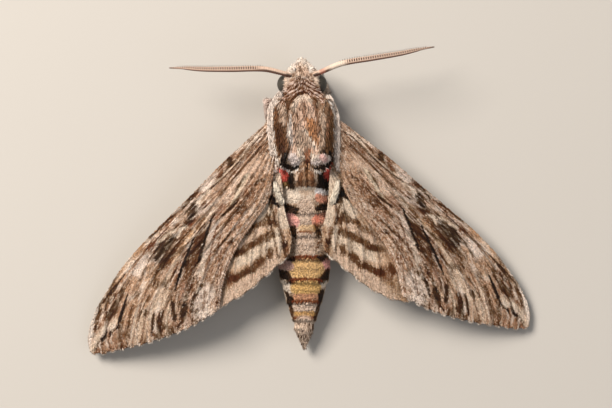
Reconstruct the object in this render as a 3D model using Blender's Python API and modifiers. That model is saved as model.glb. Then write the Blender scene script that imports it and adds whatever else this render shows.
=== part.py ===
"""A life-size convolvulus hawk moth at rest with its wings half spread, as a still museum model.

Sizes are real ones in metres, +Z is up, the head points to +Y and the six feet stand on z = 0.
The middle of the animal's outline, seen from above, is the origin, so the body lies a little to -X.
The places below are written before TO_MIDDLE moves the whole animal there.
"""

import math

import bmesh
import bpy
from mathutils import Vector

MM = 0.001
GAP = 0.3 * MM
PUSH_STEP = 0.02 * MM
TO_MIDDLE = Vector((0.05 * MM, 0.58 * MM, 0))

# The body, front to back
BODY_X = -1.0 * MM
HEAD_X = -1.35 * MM
HEAD_FRONT = 23.3 * MM
NECK = 18.3 * MM
WAIST = 1.4 * MM
TAIL_TIP = -26.2 * MM

# Half width, top and bottom of the body at each place along it: (y, half width, top, bottom) in mm
HEAD_SECTIONS = (
    (23.3, 0.5, 8.0, 6.0),
    (22.9, 1.6, 8.7, 5.3),
    (22.2, 2.5, 9.3, 4.8),
    (21.2, 3.0, 9.9, 4.5),
    (19.8, 3.2, 10.3, 4.4),
    (18.6, 3.8, 10.5, 4.0),
)
THORAX_SECTIONS = (
    (18.3, 3.9, 10.6, 3.8),
    (17.2, 4.7, 11.3, 3.1),
    (15.4, 5.35, 12.1, 2.7),
    (12.5, 5.55, 12.7, 2.5),
    (9.0, 5.5, 12.6, 2.4),
    (6.0, 5.3, 11.9, 2.3),
    (3.6, 5.1, 10.6, 1.9),
    (1.4, 4.9, 8.9, 1.3),
)
ABDOMEN_SECTIONS = (
    (1.1, 4.85, 8.7, 1.2),
    (-3.0, 5.1, 8.4, 0.7),
    (-7.0, 5.15, 8.2, 0.5),
    (-11.0, 5.0, 7.8, 0.45),
    (-13.6, 4.8, 7.4, 0.45),
    (-16.0, 4.1, 6.7, 0.55),
    (-18.6, 3.35, 5.8, 0.7),
    (-21.3, 2.5, 4.8, 0.9),
    (-24.0, 1.3, 3.6, 1.2),
    (-26.2, 0.28, 2.5, 1.9),
)
BODY_PARTS = ((HEAD_SECTIONS, HEAD_X), (THORAX_SECTIONS, BODY_X), (ABDOMEN_SECTIONS, BODY_X))
SECTION_POWER = 2.3
WIDEST_SHARE = 0.44

# Where each abdominal ring ends, in mm along Y, and how far its rear edge stands out
ABDOMEN_RINGS = (1.1, -2.6, -6.6, -10.7, -14.7, -18.5, -21.5)
RING_STEP = 0.26 * MM

# Tufts that stand up at the rear of the thorax: (x off the midline, y, height, spread) in mm
THORAX_TUFTS = (
    (2.5, 6.6, 0.75, 1.35),
    (1.2, 3.0, 0.7, 1.2),
)
COLLAR = (16.9, 0.3, 0.9)

# The eyes
EYE_OUT = 2.65 * MM
EYE_Y = 20.2 * MM
EYE_Z = 7.3 * MM
EYE_RADII = (1.62 * MM, 1.55 * MM, 2.0 * MM)

# The forewing in its own plane, in mm: along it from the root and across it from front to rear edge
FOREWING_FRONT = (
    (-2.0, -0.25), (8.8, -2.0), (17.1, -2.9), (24.8, -3.8), (29.2, -4.3),
    (35.0, -4.5), (40.3, -4.0), (44.4, -3.2), (47.9, -1.7), (49.6, 0),
)
FOREWING_REAR = ((2.8, 4.1), (6.9, 6.4), (10.4, 7.7), (14.5, 7.9), (20.1, 8.5), (25.3, 10.2), (29.7, 12.7))
FOREWING_EDGE = ((49.6, 0), (48.5, 1.6), (46.5, 3.2), (41.2, 7.1), (34.8, 10.8), (29.7, 12.7))
FOREWING_VEINS = (0.0, 0.1, 0.21, 0.32, 0.43, 0.54, 0.66, 0.79, 0.91)
HINDWING_FRONT = ((0, 0), (6.0, -2.4), (14.0, -4.2), (22.0, -3.6), (28.0, 0))
HINDWING_REAR = ((1.4, 2.6), (4.9, 5.7), (8.2, 9.6), (10.5, 11.0))
HINDWING_EDGE = ((28.0, 0), (26.8, 5.0), (22.3, 8.1), (15.9, 9.9), (10.5, 11.0))
HINDWING_VEINS = (0.0, 0.14, 0.29, 0.44, 0.59, 0.74, 0.88)

# Each wing: the root's place and the direction it points, as degrees out from straight back, and its size
FOREWINGS = {
    "left": (-7.3, 12.3, -38.8, 1.018),
    "right": (5.55, 12.4, 43.6, 0.973),
}
HINDWINGS = {
    "left": (-6.15, 5.6, -36.2, 1.0),
    "right": (4.5, 5.8, 38.0, 0.97),
}
FOREWING_ROOT_Z = 9.35 * MM
HINDWING_DROP = 1.05 * MM
WING_SLOPE = 0.155
WING_BEND = 2.5
WING_OUT = 5.9 * MM
WING_CAMBER = 0.8 * MM
FRONT_EDGE_DROOP = 0.45 * MM
MEMBRANE = 0.5 * MM
VEIN = 0.85 * MM
EDGE_SHARE = 0.45
VEIN_HALF_WIDTH = 0.018
SCALLOP = 0.32 * MM
FOREWING_ROWS = 13
HINDWING_ROWS = 10

# The feelers, in mm: the line each follows, root to tip
ANTENNA_LINES = {
    "left": ((-3.3, 21.1, 9.3), (-4.6, 21.45, 9.75), (-8.0, 22.15, 10.2), (-13.6, 22.1, 10.4),
             (-18.6, 22.15, 9.9), (-22.0, 22.4, 9.3), (-23.7, 22.5, 9.0)),
    "right": ((0.6, 21.2, 9.3), (1.9, 21.7, 9.75), (5.5, 23.1, 10.4), (10.9, 24.0, 10.9),
              (15.6, 24.8, 10.6), (19.6, 25.7, 10.1), (21.4, 26.0, 9.8)),
}
ANTENNA_RINGS = 34
ANTENNA_THICK = 0.56 * MM
ANTENNA_TOOTH = 0.1 * MM

# The mouth parts
PALP_OUT = 1.25 * MM
PALP_LINE = ((22.5, 3.9), (23.2, 4.5), (23.7, 5.8), (23.75, 7.1), (23.5, 8.0))
PALP_RADII = (0.5, 0.7, 0.72, 0.58, 0.3)
COIL_CENTRE = (21.4 * MM, 2.45 * MM)
COIL_OUTER = 1.5 * MM
COIL_PITCH = 0.92 * MM
COIL_TURNS = 1.35
COIL_TUBE = 0.3 * MM

# Each leg, in mm from the body's midline and along Y: hip, end of hip, knee, end of shin, heel, toe
LEGS = {
    "foreleg_right": ((1.6, 15.6), (2.0, 16.6, 2.0), (4.1, 18.6, 3.6), (3.4, 20.6, 0.95), (3.0, 21.6, 0.24), (2.9, 23.2, 0.2)),
    "foreleg_left": ((-1.7, 15.4), (-2.8, 15.4, 2.1), (-6.7, 17.0, 4.9), (-6.4, 13.6, 1.2), (-7.0, 12.6, 0.24), (-8.4, 10.2, 0.2)),
    "midleg_right": ((2.3, 11.4), (3.4, 11.6, 2.0), (7.0, 11.4, 4.8), (9.3, 7.6, 1.1), (10.0, 6.6, 0.24), (12.2, 3.6, 0.2)),
    "midleg_left": ((-2.3, 11.4), (-3.3, 11.2, 1.9), (-6.9, 10.4, 4.7), (-9.8, 7.0, 1.1), (-10.6, 6.0, 0.24), (-12.8, 3.0, 0.2)),
    "hindleg_right": ((2.4, 7.6), (3.4, 7.2, 1.7), (6.9, 3.2, 4.6), (8.2, -2.8, 1.1), (8.6, -4.2, 0.24), (9.4, -8.6, 0.2)),
    "hindleg_left": ((-2.4, 7.6), (-3.4, 7.2, 1.7), (-7.0, 3.4, 4.6), (-8.4, -2.4, 1.1), (-8.9, -3.8, 0.24), (-9.9, -8.2, 0.2)),
}
LEG_RADII = (0.85, 0.62, 0.5, 0.42, 0.3, 0.27)
THIGH_SWELL = 0.28
SHIN_SWELL = 0.14
SPUR_LENGTH = 1.5 * MM
SPUR_RADIUS = 0.27 * MM

COLOURS = {
    "thorax_fur": "#8C7565",
    "abdomen_scales": "#B79A6B",
    "head_fur": "#9C8676",
    "eye": "#2B2A28",
    "antenna": "#C7A892",
    "wing_scales": "#A08A78",
    "hindwing_scales": "#B7A391",
    "leg_scales": "#B5A294",
    "mouthparts": "#6B4A35",
}


def remove_everything():
    for old in list(bpy.data.objects):
        bpy.data.objects.remove(old, do_unlink=True)


def linear(channel):
    return channel / 12.92 if channel <= 0.04045 else ((channel + 0.055) / 1.055) ** 2.4


def finish_of(name, roughness=0.75):
    """The material of that name, made the first time it is asked for."""
    made = bpy.data.materials.get(name)
    if made:
        return made
    made = bpy.data.materials.new(name)
    made.use_nodes = True
    code = COLOURS[name].lstrip("#")
    rgb = [linear(int(code[i:i + 2], 16) / 255) for i in (0, 2, 4)]
    shader = made.node_tree.nodes["Principled BSDF"]
    shader.inputs["Base Color"].default_value = (*rgb, 1)
    shader.inputs["Roughness"].default_value = roughness
    shader.inputs["Metallic"].default_value = 0.0
    made.diffuse_color = (*rgb, 1)
    return made


def add_object(name, mesh, finish, collection):
    made = bpy.data.objects.new(name, mesh)
    made.data.materials.append(finish_of(finish))
    collection.objects.link(made)
    return made


def smooth_at(points, x, column):
    """A smooth value of one column of the points at x, whose first column falls along the list."""
    last = len(points) - 2
    i = next((k for k in range(last + 1) if x >= points[k + 1][0]), last)
    before, a, b, after = (points[min(max(k, 0), last + 1)] for k in (i - 1, i, i + 1, i + 2))
    share = (a[0] - x) / (a[0] - b[0])
    slope_a = (b[column] - before[column]) / (b[0] - before[0]) * (b[0] - a[0])
    slope_b = (after[column] - a[column]) / (after[0] - a[0]) * (b[0] - a[0])
    s2, s3 = share * share, share ** 3
    return (
        a[column] * (2 * s3 - 3 * s2 + 1)
        + slope_a * (s3 - 2 * s2 + share)
        + b[column] * (3 * s2 - 2 * s3)
        + slope_b * (s3 - s2)
    )


def section(sections, y):
    """Half width, top and bottom of the body at y, in metres."""
    inside = min(max(y / MM, sections[-1][0]), sections[0][0])
    return [smooth_at(sections, inside, column) * MM for column in (1, 2, 3)]


def body_point(sections, centre_x, y, angle, grow=0.0):
    """A point of the body's skin, with angle 0 on the right side and a quarter turn at the top."""
    half, top, bottom = section(sections, y)
    level = bottom + (top - bottom) * WIDEST_SHARE
    across, up = math.cos(angle), math.sin(angle)
    power = 2 / SECTION_POWER
    rise = (top - level) if up > 0 else (level - bottom)
    x = math.copysign(abs(across) ** power, across) * (half + grow)
    z = math.copysign(abs(up) ** power, up) * (rise + grow)
    return Vector((centre_x + x, y, level + z))


def depth_in(sections, centre_x, place, gap):
    """How far out a point is, as a share of the way from the body's middle to its skin and the gap."""
    x, y, z = place
    if not sections[-1][0] * MM - gap < y < sections[0][0] * MM + gap:
        return 2.0, 0.0, 0.0, 0.0
    half, top, bottom = section(sections, y)
    level = bottom + (top - bottom) * WIDEST_SHARE
    rise = (top - level) if z > level else (level - bottom)
    across, up = abs(x - centre_x) / (half + gap), abs(z - level) / (rise + gap)
    share = (across ** SECTION_POWER + up ** SECTION_POWER) ** (1 / SECTION_POWER)
    return share, level, half, up


def push_clear(vertex, sections, centre_x, gap=GAP, level_out=False):
    """Moves a point that is inside the body, or nearer than the gap, out from its middle, or level to its side."""
    x, _, z = vertex.co
    share, level, half, up = depth_in(sections, centre_x, vertex.co, gap)
    if level_out and share < 1:
        side = math.copysign((1 - up ** SECTION_POWER) ** (1 / SECTION_POWER), x - centre_x)
        vertex.co.x = centre_x + side * (half + gap)
    elif 0 < share < 1:
        vertex.co.x = centre_x + (x - centre_x) / share
        vertex.co.z = level + (z - level) / share


def push_in_front(data, sections, centre_x):
    """Moves each point that is inside the head, or nearer than the gap, forwards out of it."""
    for vertex in data.vertices:
        while depth_in(sections, centre_x, vertex.co, GAP)[0] < 1:
            vertex.co.y += PUSH_STEP


def push_mesh_clear(data):
    """The same for every point of a mesh, against the head, the thorax and the abdomen."""
    for vertex in data.vertices:
        for sections, centre_x in BODY_PARTS:
            push_clear(vertex, sections, centre_x)


def under_body(sections, x, y):
    """The height of the body's underside x from its midline."""
    half, top, bottom = section(sections, y)
    level = bottom + (top - bottom) * WIDEST_SHARE
    share = min(abs(x) / half, 1.0)
    return level - (level - bottom) * (1 - share ** SECTION_POWER) ** (1 / SECTION_POWER)


def loft(rings):
    """A closed mesh through rings of points, each with a flat fan as its end."""
    mesh = bmesh.new()
    rows = [[mesh.verts.new(point) for point in ring] for ring in rings]
    count = len(rows[0])
    for near, far in zip(rows, rows[1:]):
        for i in range(count):
            j = (i + 1) % count
            mesh.faces.new((near[i], near[j], far[j], far[i]))
    for row in (rows[0], rows[-1]):
        middle = mesh.verts.new(sum((v.co for v in row), Vector()) / count)
        for i in range(count):
            mesh.faces.new((row[i], row[(i + 1) % count], middle))
    bmesh.ops.recalc_face_normals(mesh, faces=mesh.faces)
    data = bpy.data.meshes.new("loft")
    mesh.to_mesh(data)
    mesh.free()
    data.shade_smooth()
    return data


def tube(points, radii, sides=8, floor=None):
    """A closed tube along points, whose radius changes; below floor it is pressed flat."""
    curve = bpy.data.curves.new("tube", "CURVE")
    curve.dimensions = "3D"
    curve.bevel_depth = 1.0
    curve.bevel_resolution = sides // 2 - 2
    curve.use_fill_caps = True
    line = curve.splines.new("POLY")
    line.points.add(len(points) - 1)
    for point, place, radius in zip(line.points, points, radii):
        point.co = (*place, 1)
        point.radius = radius
    holder = bpy.data.objects.new("tube", curve)
    bpy.context.scene.collection.objects.link(holder)
    graph = bpy.context.evaluated_depsgraph_get()
    data = bpy.data.meshes.new_from_object(holder.evaluated_get(graph))
    bpy.data.objects.remove(holder)
    mesh = bmesh.new()
    mesh.from_mesh(data)
    bmesh.ops.remove_doubles(mesh, verts=mesh.verts, dist=0.0005 * MM)
    if floor is not None:
        for vertex in mesh.verts:
            vertex.co.z = max(vertex.co.z, floor)
    bmesh.ops.recalc_face_normals(mesh, faces=mesh.faces)
    mesh.to_mesh(data)
    mesh.free()
    data.shade_smooth()
    return data


def along(points, share):
    """The point that share of the way along a smooth line through points, in their own units."""
    steps = [(Vector(b) - Vector(a)).length for a, b in zip(points, points[1:])]
    left = min(max(share, 0.0), 1.0) * sum(steps)
    i = 0
    while i < len(steps) - 1 and left > steps[i]:
        left -= steps[i]
        i += 1
    f = min(left / steps[i], 1.0)
    a, b = Vector(points[i]), Vector(points[i + 1])
    before = Vector(points[i - 1]) if i else a * 2 - b
    after = Vector(points[i + 2]) if i + 2 < len(points) else b * 2 - a
    reach = steps[i]
    slope_a = (b - before) / ((b - a).length + (a - before).length) * reach
    slope_b = (after - a) / ((after - b).length + (b - a).length) * reach
    return (
        a * (2 * f ** 3 - 3 * f * f + 1)
        + slope_a * (f ** 3 - 2 * f * f + f)
        + b * (3 * f * f - 2 * f ** 3)
        + slope_b * (f ** 3 - f * f)
    )


def cut(body, cutter_mesh, cutters):
    """Takes the cutter's shape out of the body, and keeps the cutter hidden."""
    cutter = bpy.data.objects.new(body.name + "_cutter", cutter_mesh)
    cutter.hide_render = True
    cutter.display_type = "WIRE"
    cutters.objects.link(cutter)
    taken = body.modifiers.new("socket", "BOOLEAN")
    taken.operation = "DIFFERENCE"
    taken.solver = "EXACT"
    taken.object = cutter


def fuse(name, meshes, finish, parts):
    """One closed body made of overlapping closed meshes."""
    pieces = bpy.data.collections.new(name + "_pieces")
    bpy.context.scene.collection.children.link(pieces)
    for i, data in enumerate(meshes[1:]):
        pieces.objects.link(bpy.data.objects.new(f"{name}_piece_{i}", data))
    body = add_object(name, meshes[0], finish, parts)
    joined = body.modifiers.new("joined", "BOOLEAN")
    joined.operation = "UNION"
    joined.operand_type = "COLLECTION"
    joined.collection = pieces
    joined.solver = "EXACT"
    bpy.context.view_layer.update()
    graph = bpy.context.evaluated_depsgraph_get()
    data = bpy.data.meshes.new_from_object(body.evaluated_get(graph))
    body.modifiers.clear()
    body.data = data
    for piece in list(pieces.objects):
        bpy.data.objects.remove(piece, do_unlink=True)
    bpy.data.collections.remove(pieces)
    return body


def ellipsoid(centre, radii, around=18, rings=10, grow=0.0):
    mesh = bmesh.new()
    bmesh.ops.create_uvsphere(mesh, u_segments=around, v_segments=rings, radius=1.0)
    for vertex in mesh.verts:
        for axis in range(3):
            vertex.co[axis] = centre[axis] + vertex.co[axis] * (radii[axis] + grow)
    data = bpy.data.meshes.new("ellipsoid")
    mesh.to_mesh(data)
    mesh.free()
    data.shade_smooth()
    return data


def make_head(parts, cutters):
    ys = [HEAD_FRONT - (HEAD_FRONT - NECK - GAP) * k / 11 for k in range(12)]
    rings = [ring_at(HEAD_SECTIONS, HEAD_X, y, 24) for y in ys]
    head = add_object("head", loft(rings), "head_fur", parts)
    for name, side in (("eye_left", -1), ("eye_right", 1)):
        centre = (HEAD_X + side * EYE_OUT, EYE_Y, EYE_Z)
        add_object(name, ellipsoid(centre, EYE_RADII), "eye", parts)
        cut(head, ellipsoid(centre, EYE_RADII, grow=GAP), cutters)
    return head


def ring_at(sections, centre_x, y, sides, grow=0.0, extra=None):
    """One ring of points round the body at y, with an extra height where a tuft stands."""
    ring = []
    for k in range(sides):
        point = body_point(sections, centre_x, y, 2 * math.pi * k / sides, grow)
        if extra and math.sin(2 * math.pi * k / sides) > 0:
            point.z += extra(point.x - centre_x, y)
        ring.append(point)
    return ring


def tuft_height(x, y):
    """How far the thorax's tufts and collar stand above its smooth back."""
    height = COLLAR[1] * math.exp(-((y / MM - COLLAR[0]) / COLLAR[2]) ** 2)
    for out, place, high, spread in THORAX_TUFTS:
        for side in (-1, 1):
            far = math.hypot(x / MM - side * out, y / MM - place)
            height += high * math.exp(-((far / spread) ** 2))
    return height * MM


def make_thorax(parts):
    count = 19
    ys = [NECK - (NECK - WAIST) * k / (count - 1) for k in range(count)]
    rings = [ring_at(THORAX_SECTIONS, BODY_X, y, 28, extra=tuft_height) for y in ys]
    return add_object("thorax", loft(rings), "thorax_fur", parts)


def make_abdomen(parts):
    """Seven rings, each with a rear edge that stands over the front of the next, and the tail."""
    ends = [y * MM for y in ABDOMEN_RINGS]
    rings = []
    for front, rear in zip(ends, ends[1:]):
        rings.append(ring_at(ABDOMEN_SECTIONS, BODY_X, front, 22, -RING_STEP if rings else 0.0))
        rings.append(ring_at(ABDOMEN_SECTIONS, BODY_X, front + (rear - front) * 0.3, 22, -RING_STEP * 0.2))
        rings.append(ring_at(ABDOMEN_SECTIONS, BODY_X, rear - (rear - front) * 0.06, 22, 0.0))
    for share in (0.0, 0.2, 0.45, 0.7, 0.88, 1.0):
        y = ends[-1] + (TAIL_TIP - ends[-1]) * share
        rings.append(ring_at(ABDOMEN_SECTIONS, BODY_X, y, 22, -RING_STEP * (1 - share) ** 3))
    return add_object("abdomen", loft(rings), "abdomen_scales", parts)


def wing_height(x, drop):
    """The height of a wing's middle layer over that x, falling away from the body and more so outwards."""
    out = (abs(x - BODY_X) - WING_OUT)
    return FOREWING_ROOT_Z - drop - WING_SLOPE * out - WING_BEND * max(out, 0.0) ** 2


def wing_columns(veins):
    """Places across the wing: three for each vein, to raise it, and one between each two."""
    columns = []
    for k, vein in enumerate(veins):
        if vein > 0:
            columns.append((vein - VEIN_HALF_WIDTH, 0.0))
        columns.append((vein, 1.0))
        columns.append((vein + VEIN_HALF_WIDTH, 0.0))
        following = veins[k + 1] if k + 1 < len(veins) else 1.0
        if following - vein > 0.1:
            columns.append(((vein + following) / 2, -1.0))
    return [*columns, (1.0, 0.0)]


def wing_mesh(front, rear, edge, veins, rows, place, drop):
    """A wing as one sheet between its four edges, with how thick each point is as a vertex weight."""
    x0, y0, turn, size = place
    angle = math.radians(turn)
    side = math.copysign(1.0, turn)
    forward = Vector((math.sin(angle), -math.cos(angle)))
    across = Vector((-side * math.cos(angle), -abs(math.sin(angle))))
    rear_root = Vector(rear[0])

    def on_plan(local):
        flat = (forward * local[0] + across * local[1]) * size
        return Vector((x0 + flat.x, y0 + flat.y)) * MM

    corners = [on_plan(p) for p in (front[0], front[-1], rear_root, rear[-1])]
    columns = wing_columns(veins)
    mesh = bmesh.new()
    grid, weights = [], []
    for i in range(rows + 1):
        s = i / rows
        line = []
        for t, ridge in columns:
            root_point = corners[0].lerp(corners[2], t)
            patch = (
                on_plan(along(front, s)) * (1 - t)
                + on_plan(along(rear, s)) * t
                + root_point * (1 - s)
                + on_plan(along(edge, t)) * s
                - corners[0] * ((1 - s) * (1 - t))
                - corners[1] * (s * (1 - t))
                - corners[2] * ((1 - s) * t)
                - corners[3] * (s * t)
            )
            if i == rows and 0 < t < 1:
                outward = (patch - corners[0]).normalized()
                patch += outward * SCALLOP * (0.5 if ridge > 0 else -0.5 if ridge < 0 else 0.1)
            z = wing_height(patch.x, drop)
            if not drop:
                z += WING_CAMBER * math.sin(math.pi * min(t, 1.0)) ** 2 * math.sin(math.pi * s)
                z -= FRONT_EDGE_DROOP * (1 - t) ** 6 * math.sin(math.pi * s) ** 2
            line.append(mesh.verts.new((patch.x, patch.y, z)))
            thick = VEIN if ridge > 0 else MEMBRANE
            weights.append(thick / VEIN * (EDGE_SHARE if i == rows else 1.0))
        grid.append(line)
    return mesh, grid, weights


def clear_of_body(mesh):
    """Moves the sheet's points out until the finished wing faces the body across the gap."""
    for vertex in mesh.verts:
        for sections, centre_x in BODY_PARTS:
            push_clear(vertex, sections, centre_x, GAP + VEIN / 2, level_out=True)


def make_wing(name, shape, place, drop, finish, parts):
    mesh, grid, weights = wing_mesh(*shape, place, drop)
    for near, far in zip(grid, grid[1:]):
        for a, b, c, d in zip(near, near[1:], far[1:], far):
            mesh.faces.new((a, b, c))
            mesh.faces.new((a, c, d))
    clear_of_body(mesh)
    if place[2] < 0:
        bmesh.ops.reverse_faces(mesh, faces=mesh.faces)
    mesh.verts.ensure_lookup_table()
    data = bpy.data.meshes.new(name)
    mesh.to_mesh(data)
    mesh.free()
    data.shade_smooth()
    wing = add_object(name, data, finish, parts)
    thickness = wing.vertex_groups.new(name="thickness")
    for index, weight in enumerate(weights):
        thickness.add([index], weight, "REPLACE")
    solid = wing.modifiers.new("solid", "SOLIDIFY")
    solid.thickness = VEIN
    solid.offset = 0.0
    solid.vertex_group = "thickness"
    return wing


def make_wings(parts):
    forewing = (FOREWING_FRONT, FOREWING_REAR, FOREWING_EDGE, FOREWING_VEINS, FOREWING_ROWS)
    hindwing = (HINDWING_FRONT, HINDWING_REAR, HINDWING_EDGE, HINDWING_VEINS, HINDWING_ROWS)
    for side, place in FOREWINGS.items():
        make_wing("forewing_" + side, forewing, place, 0.0, "wing_scales", parts)
    for side, place in HINDWINGS.items():
        make_wing("hindwing_" + side, hindwing, place, HINDWING_DROP, "hindwing_scales", parts)


def make_antennae(parts):
    """Each feeler is a row of toothed rings, thickest past its middle, with a thin bent tip."""
    for side, line in ANTENNA_LINES.items():
        points, radii = [], []
        for k in range(2 * ANTENNA_RINGS + 1):
            share = k / (2 * ANTENNA_RINGS)
            points.append(along(line, share) * MM)
            swell = math.sin(math.pi * min(share + 0.12, 1.0)) ** 0.45
            tooth = ANTENNA_TOOTH if k % 2 else 0.0
            radii.append(max(ANTENNA_THICK * (0.42 + 0.58 * swell) * (1 - share ** 7) - tooth, 0.12 * MM))
        feeler = tube(points, radii, sides=6)
        push_mesh_clear(feeler)
        add_object("antenna_" + side, feeler, "antenna", parts)


def make_palps(parts):
    for name, side in (("palp_left", -1), ("palp_right", 1)):
        steps = 8
        spots = [along(PALP_LINE, k / steps) for k in range(steps + 1)]
        widths = [along([(r, 0) for r in PALP_RADII], k / steps)[0] for k in range(steps + 1)]
        points = [Vector((HEAD_X + side * PALP_OUT, y * MM, z * MM)) for y, z in spots]
        palp = tube(points, [w * MM for w in widths], sides=8)
        push_in_front(palp, HEAD_SECTIONS, HEAD_X)
        add_object(name, palp, "head_fur", parts)


def make_proboscis(parts):
    """The tongue: from the mouth it runs down in front and winds up under the head."""
    y0, z0 = COIL_CENTRE
    points = [Vector((HEAD_X, 22.2 * MM, 4.25 * MM)), Vector((HEAD_X, 22.75 * MM, 3.6 * MM))]
    steps = 26
    for k in range(steps + 1):
        turned = COIL_TURNS * k / steps
        radius = COIL_OUTER - COIL_PITCH * turned
        angle = math.radians(25) - 2 * math.pi * turned
        points.append(Vector((HEAD_X, y0 + radius * math.cos(angle), z0 + radius * math.sin(angle))))
    add_object("proboscis", tube(points, [COIL_TUBE] * len(points), sides=6), "mouthparts", parts)


def make_tegulae(parts):
    """The shoulder plates, which lie over the wing roots: leaves that follow the thorax's skin."""
    for name, side in (("tegula_left", -1), ("tegula_right", 1)):
        mesh = bmesh.new()
        grid = []
        for i in range(13):
            a = i / 12
            y = (17.2 - 12.4 * a) * MM
            low = math.radians(33 + 8 * a * a)
            wide = math.radians(36) * math.sin(math.pi * (0.12 + 0.83 * a)) ** 0.6
            line = []
            for j in range(7):
                angle = low + wide * j / 6
                if side < 0:
                    angle = math.pi - angle
                point = body_point(THORAX_SECTIONS, BODY_X, y, angle, GAP)
                point.z += tuft_height(point.x - BODY_X, y)
                line.append(mesh.verts.new(point))
            grid.append(line)
        for near, far in zip(grid, grid[1:]):
            for a, b, c, d in zip(near, near[1:], far[1:], far):
                mesh.faces.new((a, b, c))
                mesh.faces.new((a, c, d))
        bmesh.ops.recalc_face_normals(mesh, faces=mesh.faces)
        if sum(face.normal.z for face in mesh.faces) < 0:
            bmesh.ops.reverse_faces(mesh, faces=mesh.faces)
        data = bpy.data.meshes.new(name)
        mesh.to_mesh(data)
        mesh.free()
        data.shade_smooth()
        plate = add_object(name, data, "thorax_fur", parts)
        solid = plate.modifiers.new("solid", "SOLIDIFY")
        solid.thickness = 0.6 * MM
        solid.offset = 1.0


def leg_line(joints):
    """Points and radii down a leg, with a swollen thigh and shin."""
    (hip_x, hip_y), *rest = joints
    top = under_body(THORAX_SECTIONS, hip_x * MM, hip_y * MM) - GAP
    places = [Vector((hip_x * MM, hip_y * MM, top))] + [Vector(p) * MM for p in rest]
    points, radii = [places[0]], [LEG_RADII[0] * MM]
    for k, (a, b) in enumerate(zip(places, places[1:])):
        for share in (0.12, 0.5, 0.88) if k < 3 else (0.3, 1.0):
            swell = (THIGH_SWELL if k == 1 else SHIN_SWELL if k == 2 else 0.0) * math.sin(math.pi * share)
            radius = LEG_RADII[k] + (LEG_RADII[k + 1] - LEG_RADII[k]) * share + swell
            points.append(a.lerp(b, share))
            radii.append(radius * MM)
    return places, points, radii


def make_legs(parts):
    for name, joints in LEGS.items():
        places, points, radii = leg_line(joints)
        shift = Vector((BODY_X, 0, 0))
        pieces = [tube([p + shift for p in points], radii, sides=8, floor=0.0)]
        shin = (places[3] - places[2]).normalized()
        for out in (-1, 1) if "fore" not in name else ():
            root = places[2].lerp(places[3], 0.9) + shift
            tip = root + (shin + Vector((out * 0.35, out * 0.25, 0.25))).normalized() * SPUR_LENGTH
            tip.z = max(tip.z, 0.3 * MM)
            root = root - (tip - root).normalized() * 0.1 * MM
            pieces.append(tube([root, root.lerp(tip, 0.6), tip], [SPUR_RADIUS, SPUR_RADIUS * 0.8, 0.08 * MM], 6))
        push_mesh_clear(pieces[0])
        if len(pieces) > 1:
            fuse(name, pieces, "leg_scales", parts)
        else:
            add_object(name, pieces[0], "leg_scales", parts)


def main():
    remove_everything()
    parts = bpy.data.collections.new("convolvulus_hawk_moth")
    cutters = bpy.data.collections.new("cutters")
    bpy.context.scene.collection.children.link(parts)
    bpy.context.scene.collection.children.link(cutters)
    make_head(parts, cutters)
    make_thorax(parts)
    make_tegulae(parts)
    make_abdomen(parts)
    make_antennae(parts)
    make_palps(parts)
    make_proboscis(parts)
    make_wings(parts)
    make_legs(parts)
    for piece in [*parts.objects, *cutters.objects]:
        piece.location = TO_MIDDLE


main()
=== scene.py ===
# %% [markdown]
# # A convolvulus hawk moth, life size
# This lesson dresses a plain solid model of a hawk moth as a museum would show it. The solids give the
# true outline and size, and the script grows the coat: every wing scale, hair and tuft is a small closed
# mesh that lies the way the real ones lie. Places are written in millimetres in the animal's own frame,
# with the head at +Y, and one function turns them to metres.

# %% Load the solid model
import math

import bmesh
import bpy
import numpy as np
from mathutils import Matrix, Vector


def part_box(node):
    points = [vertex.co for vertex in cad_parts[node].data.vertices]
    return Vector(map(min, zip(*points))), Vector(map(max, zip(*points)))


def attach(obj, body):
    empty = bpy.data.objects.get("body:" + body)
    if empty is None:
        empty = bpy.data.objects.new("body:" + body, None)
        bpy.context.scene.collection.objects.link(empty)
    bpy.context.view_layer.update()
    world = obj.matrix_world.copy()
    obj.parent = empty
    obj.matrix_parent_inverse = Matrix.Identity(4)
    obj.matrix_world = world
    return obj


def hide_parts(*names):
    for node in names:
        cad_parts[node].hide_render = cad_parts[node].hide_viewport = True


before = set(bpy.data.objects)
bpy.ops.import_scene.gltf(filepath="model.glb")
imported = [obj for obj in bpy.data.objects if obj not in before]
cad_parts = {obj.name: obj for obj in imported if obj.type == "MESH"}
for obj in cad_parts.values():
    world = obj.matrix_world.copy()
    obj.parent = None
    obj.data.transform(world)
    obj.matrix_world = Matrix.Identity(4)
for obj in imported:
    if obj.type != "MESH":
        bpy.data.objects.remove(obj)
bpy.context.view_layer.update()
MM = 0.001
random = np.random.default_rng(20)
print("solids", sorted(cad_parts))

# %% [markdown]
# A solid model is moved a little when it is packed, so that its outline is centred. The places in this
# lesson were measured before that, with the body's middle near x = -1 mm, so one step is added to each.

# %% The animal's own frame
TO_MIDDLE = np.array([0.05, 0.58, 0.0])
BODY_X = -1.0
HEAD_X = -1.35


def metres(places):
    """Points in the animal's own millimetres, as metres in the model's frame."""
    return (np.asarray(places, float) + TO_MIDDLE) * MM


thorax_low, thorax_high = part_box("thorax")
print("thorax from", np.round(thorax_low, 4), "to", np.round(thorax_high, 4), "metres")

# %% [markdown]
# Colours are picked as sRGB hex values, because that is how a screen or a paint chart gives them. Shaders
# work in linear light, so one function turns every code. The colours that many marks share have names.


# %% Colours
def linear(code):
    """An sRGB hex code as three linear values."""
    values = np.array([int(code[i : i + 2], 16) for i in (1, 3, 5)]) / 255
    return np.where(values <= 0.04045, values / 12.92, ((values + 0.055) / 1.055) ** 2.4)


def rgba(code):
    """The same with a full alpha, as a shader's colour socket wants it."""
    return (*linear(code), 1)


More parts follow.
